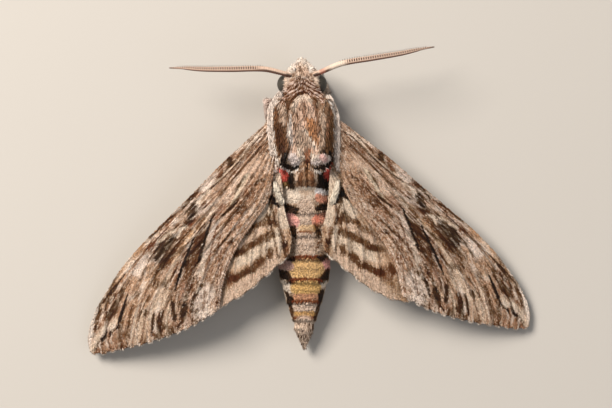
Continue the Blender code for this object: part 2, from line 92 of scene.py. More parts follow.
TAN = "#9E806B"
PALE = "#D6BFAB"
CREAM = "#E1D0BC"
WHITE = "#EBDFD2"
BROWN = "#644334"
DARK = "#2E1E16"
BLACK = "#110C0B"
WARM = "#AC8069"
RED = "#C25044"
PINK = "#DBA398"
SALMON = "#D39880"
OCHRE = "#D3AF7A"
GREY = "#96887A"
OLIVE = "#7E6A42"
CHALK = "#E2D3C6"
FROST = "#EADDD0"
SAND = "#C9B09B"
DUN = "#A38D79"
SLATE = "#37353A"
print("tan in linear light", np.round(linear(TAN), 3))

# %% [markdown]
# Each scale of a moth has one colour, and neighbours differ. Streaks and specks come from a smooth random
# field. An image could give it, but a hashed lattice needs no file and is the same on each run.


# %% A smooth random field
def noise(x, y, seed):
    """A smooth random value from -1 to 1 that changes over about one unit."""
    column, row = np.floor(x).astype(np.int64), np.floor(y).astype(np.int64)
    across, down = x - column, y - row
    across, down = across * across * (3 - 2 * across), down * down * (3 - 2 * down)

    def corner(i, j):
        mixed = ((column + i) * 374761393 + (row + j) * 668265263 + seed * 974634777) & 0xFFFFFFFF
        mixed = ((mixed ^ (mixed >> 13)) * 1274126177) & 0xFFFFFFFF
        return ((mixed ^ (mixed >> 16)) & 0xFFFF) / 32768.0 - 1

    near = corner(0, 0) * (1 - across) + corner(1, 0) * across
    far = corner(0, 1) * (1 - across) + corner(1, 1) * across
    return near * (1 - down) + far * down


print("the field at three places", np.round(noise(np.array([0.2, 3.7, 9.1]), np.zeros(3), 1), 2))

# %% [markdown]
# The pattern is painted on points, one colour over another. How thickly the paint lies on a point is a
# number from 0 to 1, and one function gives it a soft edge.


# %% Laying paint
def ramp(value, low, high):
    """0 below low and 1 above high, with a smooth change between."""
    share = np.clip((value - low) / (high - low), 0, 1)
    return share * share * (3 - 2 * share)


def paint(colours, code, weight):
    """Lays a colour over the colours, as thickly as the weight says."""
    colours += (linear(code) - colours) * np.clip(np.reshape(weight, (-1, 1)), 0, 1)


def one_colour(code, count):
    """The same colour for each of count points, to paint on."""
    return np.repeat(linear(code)[None], count, axis=0)


trial = one_colour(TAN, 3)
paint(trial, WHITE, [0, 0.5, 1])
print("no white, half and all white over tan", np.round(trial.mean(1), 2))

# %% [markdown]
# The pigment of the scales absorbs blue the most. Dark scales are therefore a deep brown, not grey, and
# only the palest are near white. A table gives what is left of red, green and blue at each lightness.

# %% Deeper dark colours
TINT_LEVELS = (0.0, 0.05, 0.1, 0.16, 0.25, 0.4, 0.6)
TINTS = (
    (1.0, 1.0, 1.0, 1.0, 1.0, 0.98, 0.95),
    (0.45, 0.58, 0.78, 0.9, 0.98, 1.0, 1.0),
    (0.1, 0.2, 0.5, 0.79, 0.95, 1.05, 1.08),
)


def deepen(colours, pivot=0.6, power=1.22):
    """Darkens the darker colours more than the pale ones, as shade between crowded scales does."""
    colours = pivot * (np.clip(colours, 0, 1) / pivot) ** power
    level = colours.mean(1)
    return colours * np.column_stack([np.interp(level, TINT_LEVELS, left) for left in TINTS])


print("brown when deepened", np.round(deepen(one_colour(BROWN, 1))[0], 3))

# %% [markdown]
# The marks on a wing look like brush strokes whose edges follow single scales. Each is drawn as a line
# through a few points that is as wide as it should be at each, and its edge is made ragged with the field.


# %% A brush stroke
def stroke(x, y, line, wide, soft=0.25, ragged=0.25, seed=1, feather=0.0):
    """How strongly a brush line covers each point: 1 within half its width, fading over soft. feather moves
    the line's edge in or out at each point, in millimetres."""
    wobble_x = x + ragged * noise(x * 1.7, y * 1.7, seed)
    wobble_y = y + ragged * noise(x * 1.7, y * 1.7, seed + 50)
    nearest = np.full(len(x), 1e9)
    widths = np.broadcast_to(wide, len(line))
    for (ax, ay), (bx, by), wide_a, wide_b in zip(line, line[1:], widths, widths[1:]):
        reach = max((bx - ax) ** 2 + (by - ay) ** 2, 1e-9)
        share = np.clip(((wobble_x - ax) * (bx - ax) + (wobble_y - ay) * (by - ay)) / reach, 0, 1)
        away = np.hypot(wobble_x - ax - share * (bx - ax), wobble_y - ay - share * (by - ay))
        nearest = np.minimum(nearest, away - (wide_a + (wide_b - wide_a) * share) / 2)
    return 1 - ramp(nearest + feather, 0, soft)


trial = stroke(np.zeros(4), np.array([0, 0.4, 0.6, 0.8]), ((-1, 0), (1, 0)), 1.0, ragged=0.0)
print("a stroke 1 mm wide, 0, 0.4, 0.6 and 0.8 mm from its middle", np.round(trial, 2))

# %% [markdown]
# A material needs many small nodes. One helper adds any of them, and another sets or links its inputs.


# %% A helper for shader nodes
def set_inputs(tree, node, **inputs):
    """Sets inputs of a node. Each is a value, or an output socket to link; _ in its name is a space."""
    for name, value in inputs.items():
        socket = node.inputs[int(name[1:])] if name[1:].isdigit() else node.inputs[name.replace("_", " ")]
        if isinstance(value, bpy.types.NodeSocket):
            tree.links.new(value, socket)
        else:
            socket.default_value = value
    return node


def add_node(tree, kind, settings=None, **inputs):
    """Adds a node with its settings and its inputs."""
    made = tree.nodes.new(kind)
    for name, value in (settings or {}).items():
        setattr(made, name, value)
    return set_inputs(tree, made, **inputs)


def new_material(name):
    """An empty node material, and its tree and Principled BSDF."""
    made = bpy.data.materials.new(name)
    made.use_nodes = True
    return made, made.node_tree, made.node_tree.nodes["Principled BSDF"]


# %% [markdown]
# ## Scales and hair
# A moth's coat is chitin: flat plates on the wings, and long hair-like scales on the body. Each is dry and
# hollow, so it scatters light. The IOR is chitin's, about 1.55, and a high roughness with a low specular
# level gives the eye a dry, powdery surface. The colour comes from the painted pattern, varies a little
# from scale to scale, and has a finer mottle inside each.
# The ribs of a real scale are about 0.002 mm apart, far too fine to show, so the bump is drawn at 0.12 mm.
# The mottle of a real scale is its pigment's grains, also too fine, and is drawn at 0.35 mm.

# %% The finish of the coat
MOTTLE_MM = 0.35
RIB_MM = 0.12


def scale_chitin(name, mottle=0.16, roughness=0.62, bump=0.25):
    made, tree, shader = new_material(name)
    painted = add_node(tree, "ShaderNodeAttribute", {"attribute_name": "scale_colour"})
    # on a coat, grain is each tuft's own tone times painted shade at its root and painted light at its tip
    grain = add_node(tree, "ShaderNodeAttribute", {"attribute_name": "grain"})
    place = add_node(tree, "ShaderNodeTexCoord")
    fine = add_node(
        tree, "ShaderNodeTexNoise", Vector=place.outputs["Object"], Scale=1 / (MOTTLE_MM * MM), Detail=3.0
    )
    lightness = add_node(
        tree, "ShaderNodeMapRange", Value=fine.outputs["Fac"],
        From_Min=0.3, From_Max=0.7, To_Min=1 - mottle, To_Max=1 + mottle,
    )
    both = add_node(
        tree, "ShaderNodeMath", {"operation": "MULTIPLY"},
        _0=lightness.outputs["Result"], _1=grain.outputs["Fac"],
    )
    coloured = add_node(
        tree, "ShaderNodeVectorMath", {"operation": "SCALE"},
        _0=painted.outputs["Color"], _3=both.outputs["Value"],
    )
    ribs = add_node(
        tree, "ShaderNodeTexNoise", Vector=place.outputs["Object"], Scale=1 / (RIB_MM * MM), Detail=2.0
    )
    relief = add_node(
        tree, "ShaderNodeBump", Strength=bump, Distance=0.05 * MM, Height=ribs.outputs["Fac"]
    )
    set_inputs(
        tree, shader, Base_Color=coloured.outputs["Vector"], Normal=relief.outputs["Normal"],
        Roughness=roughness, IOR=1.55, Specular_IOR_Level=0.16, Sheen_Weight=0.02, Sheen_Roughness=0.5,
    )
    return made


SKIN_FINISH = scale_chitin("chitin_skin_under_the_scales", bump=0.5)
WING_FINISH = scale_chitin("wing_scales_of_chitin")
HAIR_FINISH = scale_chitin("hair_scales_of_chitin", mottle=0.1, roughness=0.55, bump=0.1)
for finish in (SKIN_FINISH, WING_FINISH, HAIR_FINISH):
    print(finish.name, "has", len(finish.node_tree.nodes), "nodes")

# %% [markdown]
# ## Making many small pieces
# The coat has over a hundred thousand tufts. Particle hair could grow them, but it isn't solid. Arrays
# write them all into one mesh quickly, with a colour for each point, a lightness for each tuft, and a bake
# map for a texture. One function makes every piece of the model.


# %% A mesh from arrays
def make_piece(name, points, faces, finish, stands_for=(), colours=None, grain=None, bake=None):
    """A piece of the model from arrays in millimetres, with its painted colours and its bake map. It rides
    on the body, stands for the solids named, and gets a material slot."""
    mesh = bpy.data.meshes.new(name)
    mesh.from_pydata([], [], [])
    mesh.vertices.add(len(points))
    mesh.vertices.foreach_set("co", metres(points).astype(np.float32).ravel())
    corners = faces.shape[1]
    mesh.loops.add(faces.size)
    mesh.loops.foreach_set("vertex_index", faces.astype(np.int32).ravel())
    mesh.polygons.add(len(faces))
    mesh.polygons.foreach_set("loop_start", np.arange(0, faces.size, corners, dtype=np.int32))
    mesh.update(calc_edges=True)
    mesh.validate()
    mesh.shade_smooth()
    if colours is not None:
        with_alpha = np.column_stack([colours, np.ones(len(points))])
        layer = mesh.color_attributes.new("scale_colour", "FLOAT_COLOR", "POINT")
        layer.data.foreach_set("color", with_alpha.astype(np.float32).ravel())
    # on a coat, the grain holds each tuft's own tone times painted shade and painted light along it
    if grain is not None:
        layer = mesh.attributes.new("grain", "FLOAT", "POINT")
        layer.data.foreach_set("value", np.broadcast_to(grain, len(points)).astype(np.float32))
    if bake is not None:
        layer = mesh.uv_layers.new(name="OFBake")
        layer.data.foreach_set("uv", bake[faces.ravel()].astype(np.float32).ravel())
    made = bpy.data.objects.new(name, mesh)
    mesh.materials.append(finish)
    bpy.context.scene.collection.objects.link(made)
    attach(made, "root")
    if stands_for:
        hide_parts(*stands_for)
    print(name, len(points), "points,", len(faces), "faces")


def unit(vectors):
    """Vectors of the same directions, each 1 long."""
    return vectors / np.maximum(np.linalg.norm(vectors, axis=1, keepdims=True), 1e-12)


def columns(x, y, z):
    """One place or direction for each tuft, from its three columns. A single number fills its column."""
    return np.column_stack(np.broadcast_arrays(x, y, z))


print("unit of (3, 0, 4)", unit(columns([3.0], 0.0, 4.0))[0])

# %% [markdown]
# A tuft is a thin closed spindle with three sides: a root sunk in the skin, one ring for a flat scale or
# two for a hair, and a tip. Its root is painted darker, as painted shade, since in a real coat little light
# gets down there, and its tip is painted a little lighter, as painted light. It has a small patch on the
# bake map at its root's place, so that a baked texture can keep its colour.

# %% The two kinds of tuft
BAKE_PATCH = 0.003
# each ring: its place along the tuft, and its width as a share of the tuft's
SCALE_RINGS = ((0.42, 1.0),)
HAIR_RINGS = ((0.3, 1.0), (0.7, 0.62))
SCALE_FACES = np.array([[0, 2, 1], [0, 3, 2], [0, 1, 3], [4, 1, 2], [4, 2, 3], [4, 3, 1]])
HAIR_FACES = np.array(
    [[0, 2, 1], [0, 3, 2], [0, 1, 3]]
    + [[a, b, b + 3] for a, b in ((1, 2), (2, 3), (3, 1))]
    + [[a, b + 3, a + 3] for a, b in ((1, 2), (2, 3), (3, 1))]
    + [[7, 4, 5], [7, 5, 6], [7, 6, 4]]
)
SCALE_PATCH = np.array([[0, -0.5], [-0.4, 0], [0.4, 0], [0, 0.1], [0, 0.5]])
HAIR_PATCH = np.array([
    [0, -0.5], [-0.4, -0.2], [0.4, -0.2], [0, -0.1], [-0.3, 0.2], [0.3, 0.2], [0, 0.3], [0, 0.5],
])
# lightness from root to tip: painted shade at the root and painted light at the tip
SCALE_SHADE = np.array([0.7, 0.95, 0.95, 1.0, 1.12])
HAIR_SHADE = np.array([0.45, 0.72, 0.72, 0.8, 1.0, 1.0, 1.08, 1.25])
print("a flat scale has", len(SCALE_FACES), "triangles, and a hair", len(HAIR_FACES))

# %% [markdown]
# A coat is made in one go: each tuft starts at a root, lies along a given way, and lifts a little from the
# skin. Small random changes of length, width, lift and turn keep it from looking combed by a machine.

# %% A coat of tufts
FLOOR_CLEAR = 0.01


def coat(
    name, slot, roots, lies, normals, unwrap, colours, length, width,
    lift=0.2, bend=0.0, depth=0.3, hairs=False, sink=0.1, spread=0.12, grain=0.16, finish=WING_FINISH,
):
    """A coat of tufts in millimetres. length and width may be arrays; lift is in radians, and depth is
    thickness as a share of width. bend is how far the tip falls back to the skin, as a share of length.
    sink is how deep the root is, spread how much the ways differ, and grain how much the lightness does."""
    count = len(roots)
    length = np.broadcast_to(length, count) * random.uniform(0.8, 1.2, count)
    width = np.broadcast_to(width, count) * random.uniform(0.8, 1.2, count)
    lift = np.broadcast_to(lift, count) * random.uniform(0.6, 1.4, count)
    normals = unit(normals)
    lies = unit(lies - normals * (lies * normals).sum(1, keepdims=True))
    side = np.cross(normals, lies)
    turn = random.normal(0, spread, count)[:, None]
    lies, side = unit(lies + side * turn), unit(side - lies * turn)
    along = lies * np.cos(lift)[:, None] + normals * np.sin(lift)[:, None]
    up = np.cross(along, side)
    up *= np.sign((up * normals).sum(1, keepdims=True))

    def centre(share):
        return roots + along * (length * share)[:, None] - normals * (bend * length * share * share)[:, None]

    places = [roots - normals * sink]
    for share, wide in HAIR_RINGS if hairs else SCALE_RINGS:
        middle, half = centre(share), (width * wide / 2)[:, None]
        places += [middle - side * half, middle + side * half, middle + up * half * 2 * depth]
    places.append(centre(1.0))
    per_tuft = len(places)
    points = np.stack(places, axis=1).reshape(-1, 3)
    points[:, 2] = np.maximum(points[:, 2], FLOOR_CLEAR)
    one_tuft, patch = (HAIR_FACES, HAIR_PATCH) if hairs else (SCALE_FACES, SCALE_PATCH)
    faces = (one_tuft[None] + np.arange(count)[:, None, None] * per_tuft).reshape(-1, 3)
    # the first tuft's volume tells whether its faces look outwards
    a, b, c = points[faces[: len(one_tuft)]].transpose(1, 0, 2)
    if np.einsum("ij,ij->i", a - points[0], np.cross(b - points[0], c - points[0])).sum() < 0:
        faces = faces[:, ::-1]
    bake = (unwrap[:, None, :] + patch[None] * BAKE_PATCH).reshape(-1, 2)
    lightness = np.clip(random.normal(1, grain, count), 0.5, 1.5)
    # each tuft's own tone, times painted shade at its root and painted light at its tip
    shade = lightness[:, None] * (HAIR_SHADE if hairs else SCALE_SHADE)
    colours = np.repeat(colours, per_tuft, axis=0)
    make_piece(name, points, faces, finish, (), colours, shade.ravel(), bake)


# %% [markdown]
# ## The wings' shape
# A wing is one thin sheet held by veins that fan out from its root. Its four edges are drawn as short lists
# of points, and the sheet between them is a patch that blends opposite edges, so lines along it run like
# the real veins. The wing's own places are given as millimetres along it and across it.

# %% Outlines of the wings
FOREWING_FRONT = (
    (-2.0, -0.25), (8.8, -2.0), (17.1, -2.9), (24.8, -3.8), (29.2, -4.3),
    (35.0, -4.5), (40.3, -4.0), (44.4, -3.2), (47.9, -1.7), (49.6, 0),
)
FOREWING_REAR = ((2.8, 4.1), (6.9, 6.4), (10.4, 7.7), (14.5, 7.9), (20.1, 8.5), (25.3, 10.2), (29.7, 12.7))
FOREWING_EDGE = ((49.6, 0), (48.5, 1.6), (46.5, 3.2), (41.2, 7.1), (34.8, 10.8), (29.7, 12.7))
FOREWING_VEINS = (0.0, 0.1, 0.21, 0.32, 0.43, 0.54, 0.66, 0.79, 0.91)
HINDWING_FRONT = ((0, 0), (6.0, -2.4), (14.0, -4.2), (22.0, -3.6), (28.0, 0))
HINDWING_REAR = ((1.4, 2.6), (4.9, 5.7), (8.2, 9.6), (10.5, 11.0))
HINDWING_EDGE = ((28.0, 0), (26.8, 5.0), (22.3, 8.1), (15.9, 9.9), (10.5, 11.0))
HINDWING_VEINS = (0.0, 0.14, 0.29, 0.44, 0.59, 0.74, 0.88)
FOREWINGS = {"left": (-7.3, 12.3, -38.8, 1.018), "right": (5.55, 12.4, 43.6, 0.973)}
HINDWINGS = {"left": (-6.15, 5.6, -36.2, 1.0), "right": (4.5, 5.8, 38.0, 0.97)}
print("forewing", FOREWING_FRONT[-1][0], "mm long, hindwing", HINDWING_FRONT[-1][0], "mm")

# %% [markdown]
# The few points have to give a smooth edge, so a curve is laid through them, as a maker bends a batten
# round pins. Its slope at each point is that between the two neighbours.


# %% A smooth line
def smooth_line(points, count):
    """Points evenly along a smooth line through the given ones."""
    points = np.asarray(points, float)
    steps = np.linalg.norm(np.diff(points, axis=0), axis=1)
    ends = np.concatenate([[0], np.cumsum(steps)])
    slopes = np.empty_like(points)
    slopes[1:-1] = (points[2:] - points[:-2]) / (steps[1:] + steps[:-1])[:, None]
    slopes[0] = (points[1] - points[0]) / steps[0]
    slopes[-1] = (points[-1] - points[-2]) / steps[-1]
    at = np.linspace(0, ends[-1], count)
    i = np.clip(np.searchsorted(ends, at, side="right") - 1, 0, len(steps) - 1)
    f = ((at - ends[i]) / steps[i])[:, None]
    reach = steps[i][:, None]
    return (
        points[i] * (2 * f**3 - 3 * f**2 + 1)
        + slopes[i] * reach * (f**3 - 2 * f**2 + f)
        + points[i + 1] * (3 * f**2 - 2 * f**3)
        + slopes[i + 1] * reach * (f**3 - f**2)
    )


print("forewing's front edge at a quarter", smooth_line(FOREWING_FRONT, 5)[1].round(1))

# %% [markdown]
# The wings slope down from the body like a roof, and the hindwings lie under the forewings. The sheet is
# also cambered across, and its front edge droops. These heights can't be read from a view from above, and
# are chosen so that the wing tips come down near the ground, as on a resting hawk moth.

# %% The wings' sheets
ROOT_Z, HINDWING_DROP, SLOPE, BEND, WING_OUT = 9.35, 1.05, 0.155, 0.0025, 5.9
CAMBER, DROOP = 0.8, 0.45
ROWS, COLUMNS = 150, 110


def wing_sheet(front, rear, edge, place, drop):
    """The middle layer of a wing: its places in 3-D, and the same along and across the wing."""
    s, t = np.linspace(0, 1, ROWS + 1)[:, None, None], np.linspace(0, 1, COLUMNS + 1)[None, :, None]
    top = smooth_line(front, ROWS + 1)[:, None]
    low = smooth_line(rear, ROWS + 1)[:, None]
    outer = smooth_line(edge, COLUMNS + 1)[None]
    root = top[:1] * (1 - t) + low[:1] * t
    flat = (
        top * (1 - t) + low * t + root * (1 - s) + outer * s
        - top[:1] * (1 - s) * (1 - t) - top[-1:] * s * (1 - t) - low[:1] * (1 - s) * t - low[-1:] * s * t
    )
    x0, y0, turn, size = place
    angle, side = math.radians(turn), math.copysign(1, turn)
    forward = np.array([math.sin(angle), -math.cos(angle)])
    across = np.array([-side * math.cos(angle), -abs(math.sin(angle))])
    plan = np.array([x0, y0]) + (flat[..., :1] * forward + flat[..., 1:] * across) * size
    out = np.abs(plan[..., 0] - BODY_X) - WING_OUT
    z = ROOT_Z - drop - SLOPE * out - BEND * np.maximum(out, 0) ** 2
    s, t = s[..., 0], t[..., 0]
    if not drop:
        z = z + CAMBER * np.sin(np.pi * t) ** 2 * np.sin(np.pi * s)
        z = z - DROOP * (1 - t) ** 6 * np.sin(np.pi * s) ** 2
    return np.dstack([plan, z]), flat


wings = {}
for wing_side in ("left", "right"):
    wings["forewing_" + wing_side] = wing_sheet(
        FOREWING_FRONT, FOREWING_REAR, FOREWING_EDGE, FOREWINGS[wing_side], 0.0
    )
    wings["hindwing_" + wing_side] = wing_sheet(
        HINDWING_FRONT, HINDWING_REAR, HINDWING_EDGE, HINDWINGS[wing_side], HINDWING_DROP
    )
for wing_name, (sheet, _) in wings.items():
    print(wing_name, "tip at", np.round(sheet[-1, 0], 1))

# %% [markdown]
# ## The forewing's pattern
# The forewing is bark-coloured, so that the moth vanishes on a trunk: a tan ground combed with fine dark
# and pale streaks along the veins, two long black dashes in the middle with dark brown between them, a
# blackish blot near the front edge, and a wavy black line into the tip. The marks are strokes with a few
# points each, in millimetres along and across the wing, and later strokes cover earlier ones.

# %% The forewing's marks
FORE_STROKES = (
    # colour, strength, width, softness, points: first the broad areas
    (BROWN, 0.3, 4, 2, ((20, 1.4), (26, 1.8), (31, 3.4))),
    ("#C4A68C", 0.7, 5, 1.6, ((34, -0.6), (38, 1.8), (41, 3.2))),
    ("#BB9C84", 0.5, 3.2, 1.4, ((20, 7), (24, 8.6), (28, 10.8))),
    ("#C2A58E", 0.5, 3.4, 1.6, ((7, 3.4), (12, 3.6), (17, 3.2))),
    ("#B2937B", 0.45, 3, 1.4, ((8, 5.8), (13, 6.4), (18, 6.6))),
    (BROWN, 0.35, 1.4, 1, ((4, 0.8), (9, 0.6))),
    (SAND, 0.55, 1.4, 0.7, ((11, 0.2), (15, 0.2))),
    (SAND, 0.5, 1, 0.6, ((17.4, 4.2), (20.6, 4.9))),
    (SAND, 0.6, 1.9, 0.8, ((41.2, 3.4), (43.8, 3.1))),
    ("#8F7561", 0.4, 2.6, 1.2, ((26.6, 7.8), (29, 8.8))),
    ("#C4AA93", 0.65, 3.6, 1.2, ((31.8, 1.4), (32.8, 4), (33.4, 6.4))),
    (CHALK, 0.75, 1.5, 0.6, ((30.8, -2.3), (33.4, -2))),
    (CHALK, 0.75, 1.9, 0.8, ((28.2, 9.4), (30.8, 10.1), (31.8, 11))),
    (CREAM, 0.55, 2, 0.9, ((39.2, 3.4), (42.2, 4.4))),
    (CREAM, 0.6, 0.9, 0.5, ((31.8, 3), (34, 3.4), (38, 4.4))),
    (CREAM, 0.6, 0.45, 0.3, ((16, 2), (18.5, 1.7), (24, 1.5), (28.2, 2.1), (31, 2.7))),
    ("#C9A478", 0.5, 0.8, 0.5, ((19, 1.2), (24, 1.1), (28, 1.5))),
    (PALE, 0.7, 1.2, 0.6, ((6, 2.2), (12, 2.2), (17, 1.8))),
    (PALE, 0.7, 0.9, 0.5, ((19.8, -1.5), (24.2, -1.6))),
    # the front edge
    ("#C49C78", 0.5, 0.6, 0.3, ((10, -2.3), (18, -3.2), (25, -4.1), (31, -4.5), (37, -4.4))),
    ("#A9713F", 0.7, 0.26, 0.15, ((24, -4.3), (29, -4.75), (35, -4.85), (40, -4.3), (43, -3.8))),
    ("#D8B795", 0.7, 0.5, 0.3, ((28, -3.9), (33, -4.15), (38, -3.95), (42, -3.5))),
    (FROST, 0.9, 0.42, 0.2, ((36, -4.7), (40, -4.2), (45, -3), (48, -1.4), (49.4, -0.3))),
    (DARK, 0.85, (0.1, 0.5, 0.4), 0.2, ((14.6, -2.3), (16.6, -2.5), (19.4, -2.7))),
    (DARK, 0.7, 0.2, 0.15, ((19.5, -2.9), (24, -3.5), (28.6, -4))),
    (DARK, 0.7, 0.14, 0.12,
     ((16, -1.4), (19, -1.95), (24, -2.5), (27, -2.8), (33, -3.35), (38, -3.6), (42.4, -3.4), (45.5, -2.4))),
    (BROWN, 0.6, 0.16, 0.12, ((25.5, -2.5), (30, -2.9), (34, -3.1), (36.2, -2.6))),
    # the base
    (DARK, 0.8, 0.18, 0.14, ((1, 0.5), (3, 0.1), (8, 0), (12, -0.5), (16, -1.35))),
    (CREAM, 0.65, 0.2, 0.12, ((2, -0.3), (8, -0.3), (12.5, -0.85), (15.6, -1.7))),
    (DARK, 0.55, 0.15, 0.12, ((2.4, -0.7), (8, -0.6), (12, -1))),
    (DARK, 0.7, 0.22, 0.15, ((3.4, 1.3), (8, 1.15), (13.5, 1), (16.8, 1.1), (19, 1.5), (22, 1.5))),
    (BROWN, 0.6, 0.16, 0.12, ((5, 0.6), (10, 0.55), (14, 0.4))),
    (BLACK, 0.85, 0.8, 0.3, ((8.4, -1.4), (8.9, -1.1))),
    (BROWN, 0.7, 0.5, 0.3, ((10.4, -1.5), (11.8, -1.2))),
    (CHALK, 0.85, 1, 0.35, ((13.2, -1.8), (15, -1.85))),
    (CREAM, 0.6, 0.6, 0.35, ((15, -0.9), (17.6, -0.9))),
    ("#E0D2BC", 0.8, (0.4, 0.7, 0.3), 0.25, ((8.6, 2.5), (10.4, 2.7), (14, 3.6))),
    (DARK, 0.7, 0.25, 0.15, ((9, 2.2), (11.2, 2.5), (12.4, 2.9))),
    (DARK, 0.7, 0.3, 0.2, ((7.8, 3.3), (8.5, 3.3))),
    (BROWN, 0.7, 0.2, 0.15, ((9.4, 4), (12, 3.95), (13.9, 3.9))),
    (BLACK, 0.9, (0.15, 0.42, 0.15), 0.15, ((13.4, 3.95), (14.6, 3.8), (16.4, 3.5))),
    (DARK, 0.8, 0.3, 0.2, ((7.8, 4.7), (9, 4.5))),
    (DARK, 0.7, 0.25, 0.18, ((10, 4.5), (13, 4.5), (15.5, 4.6), (17.8, 4.75))),
    (DARK, 0.6, 0.9, 0.5, ((13.2, 5.5), (14, 5.3))),
    (BROWN, 0.5, 0.8, 0.5, ((10.4, 5), (11.2, 5))),
    (DARK, 0.65, 0.25, 0.2, ((16.8, 6.3), (20.6, 6.3), (22.2, 6.05))),
    (DARK, 0.85, 0.55, 0.3, ((18.7, 7.3), (19.2, 7.2))),
    (DARK, 0.6, 0.3, 0.25, ((8.6, 6.9), (10.4, 7.6))),
    # the middle: two black dashes with brown between, and the blot near the front edge
    ("#85604E", 0.7, 0.6, 0.35, ((15.2, 2.5), (18.2, 2.5))),
    (DARK, 0.8, 0.35, 0.2, ((17.2, 2.2), (18.4, 2.45))),
    ("#6B5443", 0.8, 0.8, 0.35, ((19.6, 2.3), (22.6, 2.8))),
    ("#65503F", 0.9, (0.8, 1.5, 1.6, 1.4, 0.8), 0.35,
     ((19.8, 2.4), (22.6, 3.1), (25, 3.9), (27, 4.6), (28.6, 5.2))),
    ("#7A6352", 0.8, (1.2, 1.3, 0.7), 0.4, ((28.2, 5), (30, 5.5), (32.2, 6.2))),
    (CREAM, 0.55, 0.3, 0.15, ((25.6, 3.6), (26.2, 3.2))),
    (BLACK, 1, (0.2, 0.34, 0.42, 0.36, 0.2), 0.1,
     ((22.6, 2), (25, 2.75), (28, 3.7), (30.2, 4.4), (31.6, 5))),
    (BLACK, 1, (0.2, 0.36, 0.4, 0.42, 0.2), 0.1,
     ((18.2, 2.4), (20.2, 3.15), (22.2, 3.95), (24.2, 4.75), (25.4, 5.2))),
    (CHALK, 0.55, 0.5, 0.4, ((18.2, 3.2), (21.5, 4.5), (24.5, 5.7), (26.6, 6.6))),
    (BROWN, 0.8, 0.2, 0.15, ((18.4, 3.8), (21.2, 5), (24.2, 6.6))),
    (BROWN, 0.7, 0.2, 0.15, ((17.6, 4.6), (20.4, 5.7), (23.2, 7.3))),
    (CREAM, 0.6, 0.35, 0.25, ((24, 5.3), (25.4, 6), (26.8, 7))),
    (SLATE, 0.95, (1.1, 1.5, 1.1), 0.3, ((18.3, -1), (19.3, -0.8), (20.3, -0.5))),
    (DARK, 0.75, 0.6, 0.35, ((20.2, -0.5), (22.3, -0.4))),
    ("#6D5848", 0.7, (1.6, 2.4, 1.4), 0.8, ((23.6, -0.7), (27, -0.4), (29, -0.1))),
    (BROWN, 0.55, 0.9, 0.5, ((17.4, 0.2), (19.6, 0.5), (21.6, 0.6))),
    (BROWN, 0.6, 0.5, 0.3, ((25.2, -2.5), (28.6, -2.6))),
    (SLATE, 0.93, (1.3, 1.8, 1.8, 1.2), 0.3, ((24.8, -0.8), (26.4, -0.95), (28.4, -0.95), (29.5, -0.5))),
    ("#4C4A4A", 0.6, 0.8, 0.4, ((26.6, -0.4), (28.6, -0.5))),
    ("#66503F", 0.75, 0.9, 0.5, ((24, 0.3), (27.5, 0.6), (29.6, 0.8))),
    (CREAM, 0.9, 0.26, 0.15, ((21.9, 0.1), (22.9, -0.75), (23.5, -0.4), (24.3, -0.1))),
    (CREAM, 0.85, 0.32, 0.2, ((23.8, -1.4), (25.4, -1.95), (27.2, -2.35))),
    # the outer third: dashes between the veins
    (DARK, 0.75, 0.2, 0.15, ((29.8, -1.7), (31.4, -1.4), (33.2, -0.95))),
    (DARK, 0.5, 0.25, 0.18, ((29.8, -0.4), (32.6, 0.1))),
    (DARK, 0.4, 0.2, 0.18, ((30.8, 0.6), (34.4, 1.4))),
    (DARK, 0.4, 0.24, 0.2, ((29.8, 1.2), (31.6, 1.5), (33.2, 2.1))),
    (DARK, 0.4, 0.26, 0.2, ((31.2, 2.5), (33.6, 2.4))),
    (DARK, 0.8, 0.35, 0.2, ((37.6, -3.4), (39.4, -3.3))),
    (DARK, 0.75, 0.25, 0.2, ((38.8, -2.6), (40.8, -2.4))),
    (DARK, 0.75, 0.28, 0.22, ((37.4, -2), (39.4, -1.3))),
    (BLACK, 1, (0.15, 0.36, 0.46, 0.46, 0.2), 0.12,
     ((37.4, -0.9), (38.6, -0.5), (40, 0), (41.6, 0.6), (43.2, 1.15))),
    (BLACK, 1, (0.2, 0.4, 0.4, 0.2), 0.12, ((42.9, 1.4), (44, 0.95), (44.5, 0.8), (45.4, 1.2))),
    (BLACK, 1, (0.2, 0.4, 0.5, 0.36, 0.36), 0.1,
     ((44.8, 0.05), (45.9, 0.5), (46.5, 0.45), (46.95, 0), (48.8, 0.45))),
    ("#B0937C", 0.6, 1.4, 0.5, ((43, 2.4), (45, 2.2), (47.4, 1.8))),
    (CREAM, 0.8, 0.7, 0.3, ((42.4, 0.1), (43.9, 0.4))),
    (CREAM, 0.8, 0.75, 0.3, ((44.8, -0.5), (47.2, -0.4), (49.2, 0.1))),
    (DARK, 0.7, 0.32, 0.2, ((42.6, -3), (44.4, -2.4), (45.6, -1.9))),
    (DARK, 0.6, 0.3, 0.3, ((45.7, -1.8), (47.2, -1.2))),
    ("#5E4C40", 0.7, 0.5, 0.3, ((42.4, -1.5), (43.4, -1.2))),
    (BROWN, 0.7, 0.25, 0.2, ((40.6, -1.4), (42.8, -0.6))),
    (DARK, 0.75, 0.4, 0.25, ((36.2, 0.15), (37.2, 0.3))),
    (DARK, 0.65, 0.35, 0.25, ((38.6, 1.1), (40.2, 1.8))),
    (DARK, 0.75, 0.3, 0.2, ((41, 2.3), (41.8, 2.7))),
    (BLACK, 0.85, 0.35, 0.2, ((37.6, 3.3), (38.5, 3.7))),
    (DARK, 0.7, 0.25, 0.2, ((38.5, 2.8), (39.2, 2.95))),
    (BROWN, 0.7, 0.14, 0.12, ((34.5, 2.9), (39.2, 4.3), (42.8, 6))),
    (BROWN, 0.7, 0.14, 0.12, ((39.8, 2.3), (42.4, 3.5), (45.4, 5.1))),
